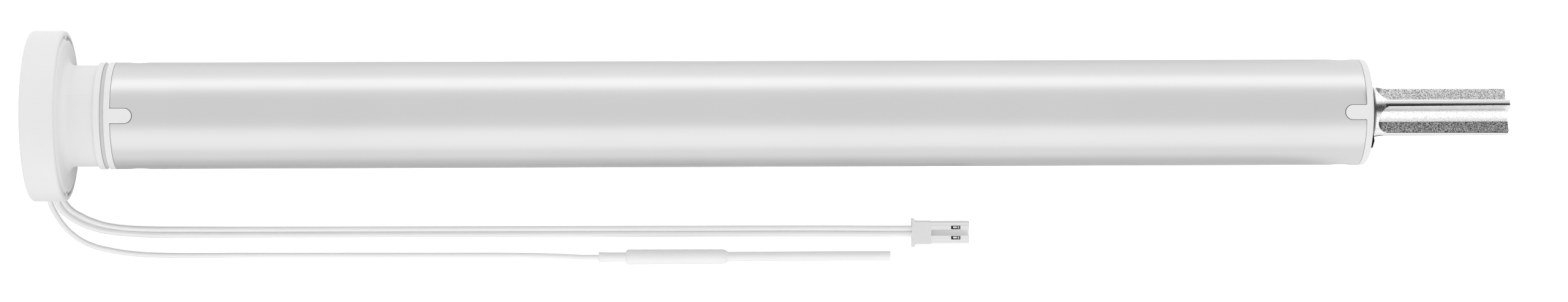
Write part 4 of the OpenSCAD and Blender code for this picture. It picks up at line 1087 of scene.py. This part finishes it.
def flute_cutter(angle_deg):
    """Quadrant between two wings with a round bottom, cut off by a round start."""
    reach = 3 * SHAFT_R
    middle = (WING_T + FLUTE_R) / 2
    half_turn = math.radians(FLUTE_TURN / 2)
    groove_r = FLUTE_R / math.sqrt(2) / math.sin(half_turn)
    away = middle + groove_r * math.cos(half_turn) / math.sqrt(2)
    outline = [(reach, WING_T / 2)]
    outline += [
        (away - groove_r * math.sin(a), away - groove_r * math.cos(a))
        for a in [math.pi / 4 + half_turn * k / 6 for k in range(-6, 7)]
    ]
    outline += [(WING_T / 2, reach), (reach, reach)]
    bm = extruded([(FLUTE_X, y, z) for y, z in outline], (SHAFT_END + 1 - FLUTE_X, 0, 0))

    half_mouth = (math.sqrt(SHAFT_R**2 - (WING_T / 2) ** 2) - WING_T / 2) / math.sqrt(2)
    start_r = half_mouth + START_SPARE
    plan = [
        (FLUTE_X + start_r - start_r * math.sin(a), start_r * math.cos(a))
        for a in [math.pi * k / 24 for k in range(25)]
    ]
    plan = [(SHAFT_END + 2, reach), (FLUTE_X + start_r, reach), *plan]
    plan += [(FLUTE_X + start_r, -reach), (SHAFT_END + 2, -reach)]
    start = turned(extruded([(x, y, 0.0) for x, y in plan], (0, 0, 2 * reach)), -45)
    return turned(cut(bm, [start], "INTERSECT"), angle_deg)


def long_edge(edge):
    return edge.calc_length() > LONG_EDGE


shaft_bm = cut(shaft_bm, [flute_cutter(WING_DEG + 90 * k) for k in range(4)])
bmesh.ops.dissolve_limit(
    shaft_bm, angle_limit=math.radians(0.5), verts=shaft_bm.verts, edges=shaft_bm.edges
)
bmesh.ops.remove_doubles(shaft_bm, verts=shaft_bm.verts, dist=MERGE_MM)
round_edges(shaft_bm, SHAFT_ROUND, least_angle=28, segments=3, wanted=long_edge, clamp=False)
print("fluted shaft:", len(shaft_bm.faces), "faces")

# %% Finishes of the shaft
BRIGHT, PAINTED_LIT_FLANK, PAINTED_SHADE_FLANK, OUTER_FACE, DRAWN_FLANK, PAINTED_SHADE_EDGE, PAINTED_SHADE_FOOT = range(7)
EDGE_BAND, OUTER_BAND = 0.35, 0.15
EDGE_AREA, OUTER_AREA, FLANK_AREA = 1.0, 5.0, 6.0
EDGE_DEG, FLANK_OFF_DEG = (4, 50), 6


def flank_kind(face):
    """Which of the seven finishes a face has, by where it is and which way it looks."""
    centre = face.calc_center_median()
    area = face.calc_area()
    # The foot of the collar beside the cap is painted darker as shade.
    if flare_from < centre.x < flare_from + FOOT_LEN:
        return PAINTED_SHADE_FOOT
    if centre.x < FLUTE_X + 0.2 or abs(face.normal.x) > 0.3:
        return BRIGHT
    angle = math.degrees(math.atan2(face.normal.z, face.normal.y)) - WING_DEG
    off = (angle + 45) % 90 - 45
    reach = math.hypot(centre.y, centre.z)
    wing = math.degrees(math.atan2(centre.z, centre.y)) - WING_DEG
    flat_wing = abs((wing + 90) % 180 - 90) > 45
    on_edge = EDGE_DEG[0] < angle % 180 < EDGE_DEG[1] and area > EDGE_AREA
    # The edge beside a shaded flank is painted dark as shade.
    if flat_wing and reach > SHAFT_R - EDGE_BAND and on_edge:
        return PAINTED_SHADE_EDGE
    if reach > SHAFT_R - OUTER_BAND and area > OUTER_AREA:
        return OUTER_FACE
    if abs(off) > FLANK_OFF_DEG or area < FLANK_AREA:
        return BRIGHT
    if abs((angle + 90) % 180 - 90) > 45:
        return DRAWN_FLANK
    # One flank of each wing is painted lit and the other painted in shade.
    turn = (wing - angle + 180) % 360 - 180
    return PAINTED_LIT_FLANK if turn < 0 else PAINTED_SHADE_FLANK


for face in shaft_bm.faces:
    face.material_index = flank_kind(face)
print("shaft faces by finish:", [sum(f.material_index == k for f in shaft_bm.faces) for k in range(7)])
shaft = finish_piece("fluted_shaft", shaft_bm, OUTPUT, "cast_zinc", ["drive_shaft"], smooth_angle=18.0)
for finish in SHAFT_FINISHES:
    shaft.data.materials.append(finish)

# %% [markdown]
# ## Pieces that keep their CAD shape
# Washer and grommet are already right, and the clip only has to be thinner, seven tenths of its CAD
# thickness. A copy of each is merged and gets its edges rounded, which is what makes stamped steel and
# moulded nylon catch the light.

# %% Rounded copies
CLIP_THINNED = 0.7


def rounded_copy(name, node, body, slot, width_mm, segments=2, least_angle=35.0, thinned=None):
    """Copy of a CAD piece. thinned gives a station, in mm, and the share kept of lengths from it."""
    bm = bmesh.new()
    bm.from_mesh(frame["nodes"][node].data)
    bmesh.ops.scale(bm, vec=(1 / MM, 1 / MM, 1 / MM), verts=bm.verts)
    if thinned:
        towards = Matrix.Translation((-thinned[0], 0, 0))
        bmesh.ops.scale(bm, vec=(thinned[1], 1, 1), space=towards, verts=bm.verts)
    bmesh.ops.remove_doubles(bm, verts=bm.verts, dist=0.002)
    bmesh.ops.dissolve_limit(bm, angle_limit=math.radians(1.0), verts=bm.verts, edges=bm.edges)
    round_edges(bm, width_mm, least_angle, segments)
    return finish_piece(name, bm, body, slot, [node])


clip_settings = {"segments": 3, "thinned": (CLIP_X, CLIP_THINNED)}
rounded_copy("clip", "shaft_clip", OUTPUT, "black_steel", 0.18, **clip_settings)
rounded_copy("washer", "thrust_washer", HOUSING, "nylon", 0.12)
rounded_copy("lead_grommet", "cord_grommet", HOUSING, "black_rubber", 0.15)

# %% [markdown]
# ## Plug
# The leads end in a small nylon plug: a rear block with two ears, whose top the mould leaves mottled, and two
# rails with a groove between them. A window in each rail shows a tinned contact, which sits in a folded box
# of tin painted dark as shade, so only the arched tongue catches the light. Blocks are joined and cut in the
# order in which a mould's slides would make them.

# %% Plug housing
PLUG_BACK_X, EAR_T, RAILS_X, PLUG_FRONT_X = 232.3, 0.85, 237.4, 247.7
PLUG_W, PLUG_H, EAR_W, RAIL_INSET = 6.3, 4.4, 7.7, 0.12
GROOVE_W, GROOVE_DEPTH, PLUG_Y = 1.6, 1.8, -32.2
WINDOW_X, WINDOW_W, CONTACT_PITCH = (242.8, 245.3), 0.95, 2.77
RIDGE_SIDE, EAR_CHAMFER, RAIL_OVERLAP = 0.62, 0.42, 0.5
PLUG_TOP = FLOOR_Z_MM + PLUG_H


def prism(outline, x0, x1):
    """Solid between two stations with an outline in (y, z)."""
    return extruded([(x0, y, z) for y, z in outline], (x1 - x0, 0, 0))


def plug_outline(half, top, chamfer):
    """Outline of a block about the plug's middle, from the floor up, with chamfered upper corners."""
    right = [(half, FLOOR_Z_MM), (half, top - chamfer), (half - chamfer, top)]
    return [(PLUG_Y + y, z) for y, z in right + [(-y, z) for y, z in reversed(right)]]


def at_ear_corner(edge):
    """Picks the upright edges at the front of the ears."""
    upright = abs((edge.verts[0].co - edge.verts[1].co).z) > 1
    return upright and all(v.co.x > PLUG_BACK_X + 0.5 for v in edge.verts)


rails_from = RAILS_X - RAIL_OVERLAP
rear = prism(plug_outline(PLUG_W / 2, PLUG_TOP, 0.2), PLUG_BACK_X + 0.02, RAILS_X)
rail_outline = plug_outline(PLUG_W / 2 - RAIL_INSET, PLUG_TOP - RAIL_INSET, 0.35)
rails = prism(rail_outline, rails_from, PLUG_FRONT_X)
ridge_outline = plug_outline(CONTACT_PITCH / 2 + RIDGE_SIDE, PLUG_TOP - 0.02, 0.1)
ridges = prism(ridge_outline, rails_from, PLUG_FRONT_X)
ear_low = (PLUG_BACK_X, PLUG_Y - EAR_W / 2, FLOOR_Z_MM)
ears = box_mm(ear_low, (PLUG_BACK_X + EAR_T, PLUG_Y + EAR_W / 2, PLUG_TOP))
round_edges(ears, EAR_CHAMFER, segments=1, wanted=at_ear_corner)
housing_bm = cut(rear, [rails, ridges, ears], "UNION")
groove_low = (RAILS_X, PLUG_Y - GROOVE_W / 2, PLUG_TOP - GROOVE_DEPTH)
housing_cutters = [box_mm(groove_low, (PLUG_FRONT_X + 1, PLUG_Y + GROOVE_W / 2, PLUG_TOP + 1))]
rail_middles = [PLUG_Y + side * CONTACT_PITCH / 2 for side in (-1, 1)]
for y in rail_middles:
    low = (WINDOW_X[0], y - WINDOW_W / 2, PLUG_TOP - 1.5)
    housing_cutters.append(box_mm(low, (WINDOW_X[1], y + WINDOW_W / 2, PLUG_TOP + 1)))
    mouth = (PLUG_FRONT_X - 1.2, y - 0.5, PLUG_TOP - 1.9)
    housing_cutters.append(box_mm(mouth, (PLUG_FRONT_X + 1, y + 0.5, PLUG_TOP - 1.0)))
housing_bm = cut(housing_bm, housing_cutters)
round_edges(housing_bm, 0.1)
for face in housing_bm.faces:
    centre = face.calc_center_median()
    face.material_index = int(centre.x < RAILS_X and face.normal.z > 0.7)
plug_housing = finish_piece(
    "plug_housing", housing_bm, HOUSING, "connector_white", ["connector_housing"]
)
plug_housing.data.materials.append(MOTTLED_NYLON)

# %% Plug contacts
BOX_WALL, BOX_TOP, BOX_GAP = 0.08, PLUG_TOP - 0.25, 0.01
TONGUE_W, TONGUE_LEN, TONGUE_T, TONGUE_RISE, ROLL_R = 0.44, 1.5, 0.08, 0.55, 0.1


def contact_box(y):
    """Folded box that lines the window: a floor and four thin walls."""
    half = WINDOW_W / 2 - BOX_GAP
    low = (WINDOW_X[0] + BOX_GAP, y - half, PLUG_TOP - 1.49)
    high = (WINDOW_X[1] - BOX_GAP, y + half, BOX_TOP)
    inner_low = (low[0] + BOX_WALL, low[1] + BOX_WALL, low[2] + BOX_WALL)
    inner_high = (high[0] - BOX_WALL, high[1] - BOX_WALL, high[2] + 1)
    return cut(box_mm(low, high), [box_mm(inner_low, inner_high)])


def contact_tongue(y):
    """Arched strip whose front end is curled into two small rolls."""
    x0, base = WINDOW_X[0] + 0.3, PLUG_TOP - 0.8
    bm = bmesh.new()
    bmesh.ops.create_grid(bm, x_segments=12, y_segments=2, size=0.5)
    for vert in bm.verts:
        share = vert.co.x + 0.5
        arch = math.sin(math.pi * share) ** 0.4
        narrow = TONGUE_W * (0.72 + 0.28 * arch)
        vert.co = (x0 + share * TONGUE_LEN, y + 0.04 + vert.co.y * narrow, base + TONGUE_RISE * arch)
    bmesh.ops.solidify(bm, geom=bm.faces[:], thickness=TONGUE_T)
    bmesh.ops.recalc_face_normals(bm, faces=bm.faces)
    for k in range(2):
        roll = bmesh.new()
        bmesh.ops.create_cone(
            roll, cap_ends=True, segments=20, radius1=ROLL_R, radius2=ROLL_R, depth=WINDOW_W - 0.3
        )
        turned(roll, 90)
        roll_x = x0 + TONGUE_LEN + 0.12 + 0.24 * k
        bmesh.ops.translate(roll, vec=(roll_x, y, PLUG_TOP - 0.5), verts=roll.verts)
        add_to(bm, roll)
    return bm


contacts_bm = bmesh.new()
for y in rail_middles:
    add_to(contacts_bm, contact_box(y))
# The boxes are tin painted dark as shade.
for face in contacts_bm.faces:
    face.material_index = 1
for y in rail_middles:
    add_to(contacts_bm, contact_tongue(y))
plug_contacts = finish_piece(
    "plug_contacts", contacts_bm, HOUSING, "tinned_contact", ["connector_contacts"]
)
plug_contacts.data.materials.append(SHADED_TIN)

# %% [markdown]
# ## Sleeve and shrink tube
# Shrink tube is blown over the joint with hot air, so its shoulders are soft and its wall is a little uneven.
# Both are spun from an outline, and the shrink tube's radius wanders by a few hundredths of a millimetre.

# %% Sleeve and shrink tube
ANTENNA_Y, ANTENNA_Z = -38.5, -20.15
SLEEVE_X, SHRINK_X, SHRINK_END = 147.7, 155.1, 182.5
SLEEVE_R, SHRINK_R = 1.35, 2.05


def on_antenna(bm):
    bmesh.ops.translate(bm, vec=(0, ANTENNA_Y, ANTENNA_Z), verts=bm.verts)
    return bm


sleeve_rows = [(SLEEVE_X, 0.0), (SLEEVE_X, 1.1)] + arc((SLEEVE_X + 0.3, 1.12), 0.3, 180, 90, 4)[1:]
sleeve_rows += [(SLEEVE_X + 0.9, 1.4), (SLEEVE_X + 1.6, SLEEVE_R), (SHRINK_X, 1.3), (SHRINK_X, 0.0)]
sleeve_bm = on_antenna(roll_up(sleeve_rows, even_columns(48)))
sleeve = finish_piece("sleeve", sleeve_bm, HOUSING, "lead_white", ["antenna_sleeve"])

# %% Shrink tube
SHOULDER, RUN_OUT_MM, SHRINK_STEPS = 0.7, 1.2, 26
WAVE, WAVE_TURN, THINS_BY = 0.015, 1.7, 0.05

shoulder_at = (SHRINK_X + SHOULDER, SHRINK_R - SHOULDER)
shrink_rows = [(SHRINK_X, 0.0), (SHRINK_X, 1.3)] + arc(shoulder_at, SHOULDER, 180, 90, 6)[1:]
body_len = SHRINK_END - SHRINK_X - SHOULDER - RUN_OUT_MM
for k in range(1, SHRINK_STEPS):
    x = SHRINK_X + SHOULDER + body_len * k / SHRINK_STEPS
    shrink_rows.append((x, SHRINK_R - THINS_BY * k / SHRINK_STEPS + WAVE * math.sin(k * WAVE_TURN)))
shrink_rows += [(SHRINK_END - RUN_OUT_MM, 1.98), (SHRINK_END - 0.6, 1.8), (SHRINK_END - 0.1, 1.5)]
shrink_rows += [(SHRINK_END, 1.32), (SHRINK_END, 0.0)]
shrink_bm = on_antenna(roll_up(shrink_rows, even_columns(64)))
shrink = finish_piece("shrink_tube", shrink_bm, HOUSING, "lead_white", ["antenna_shrink"])
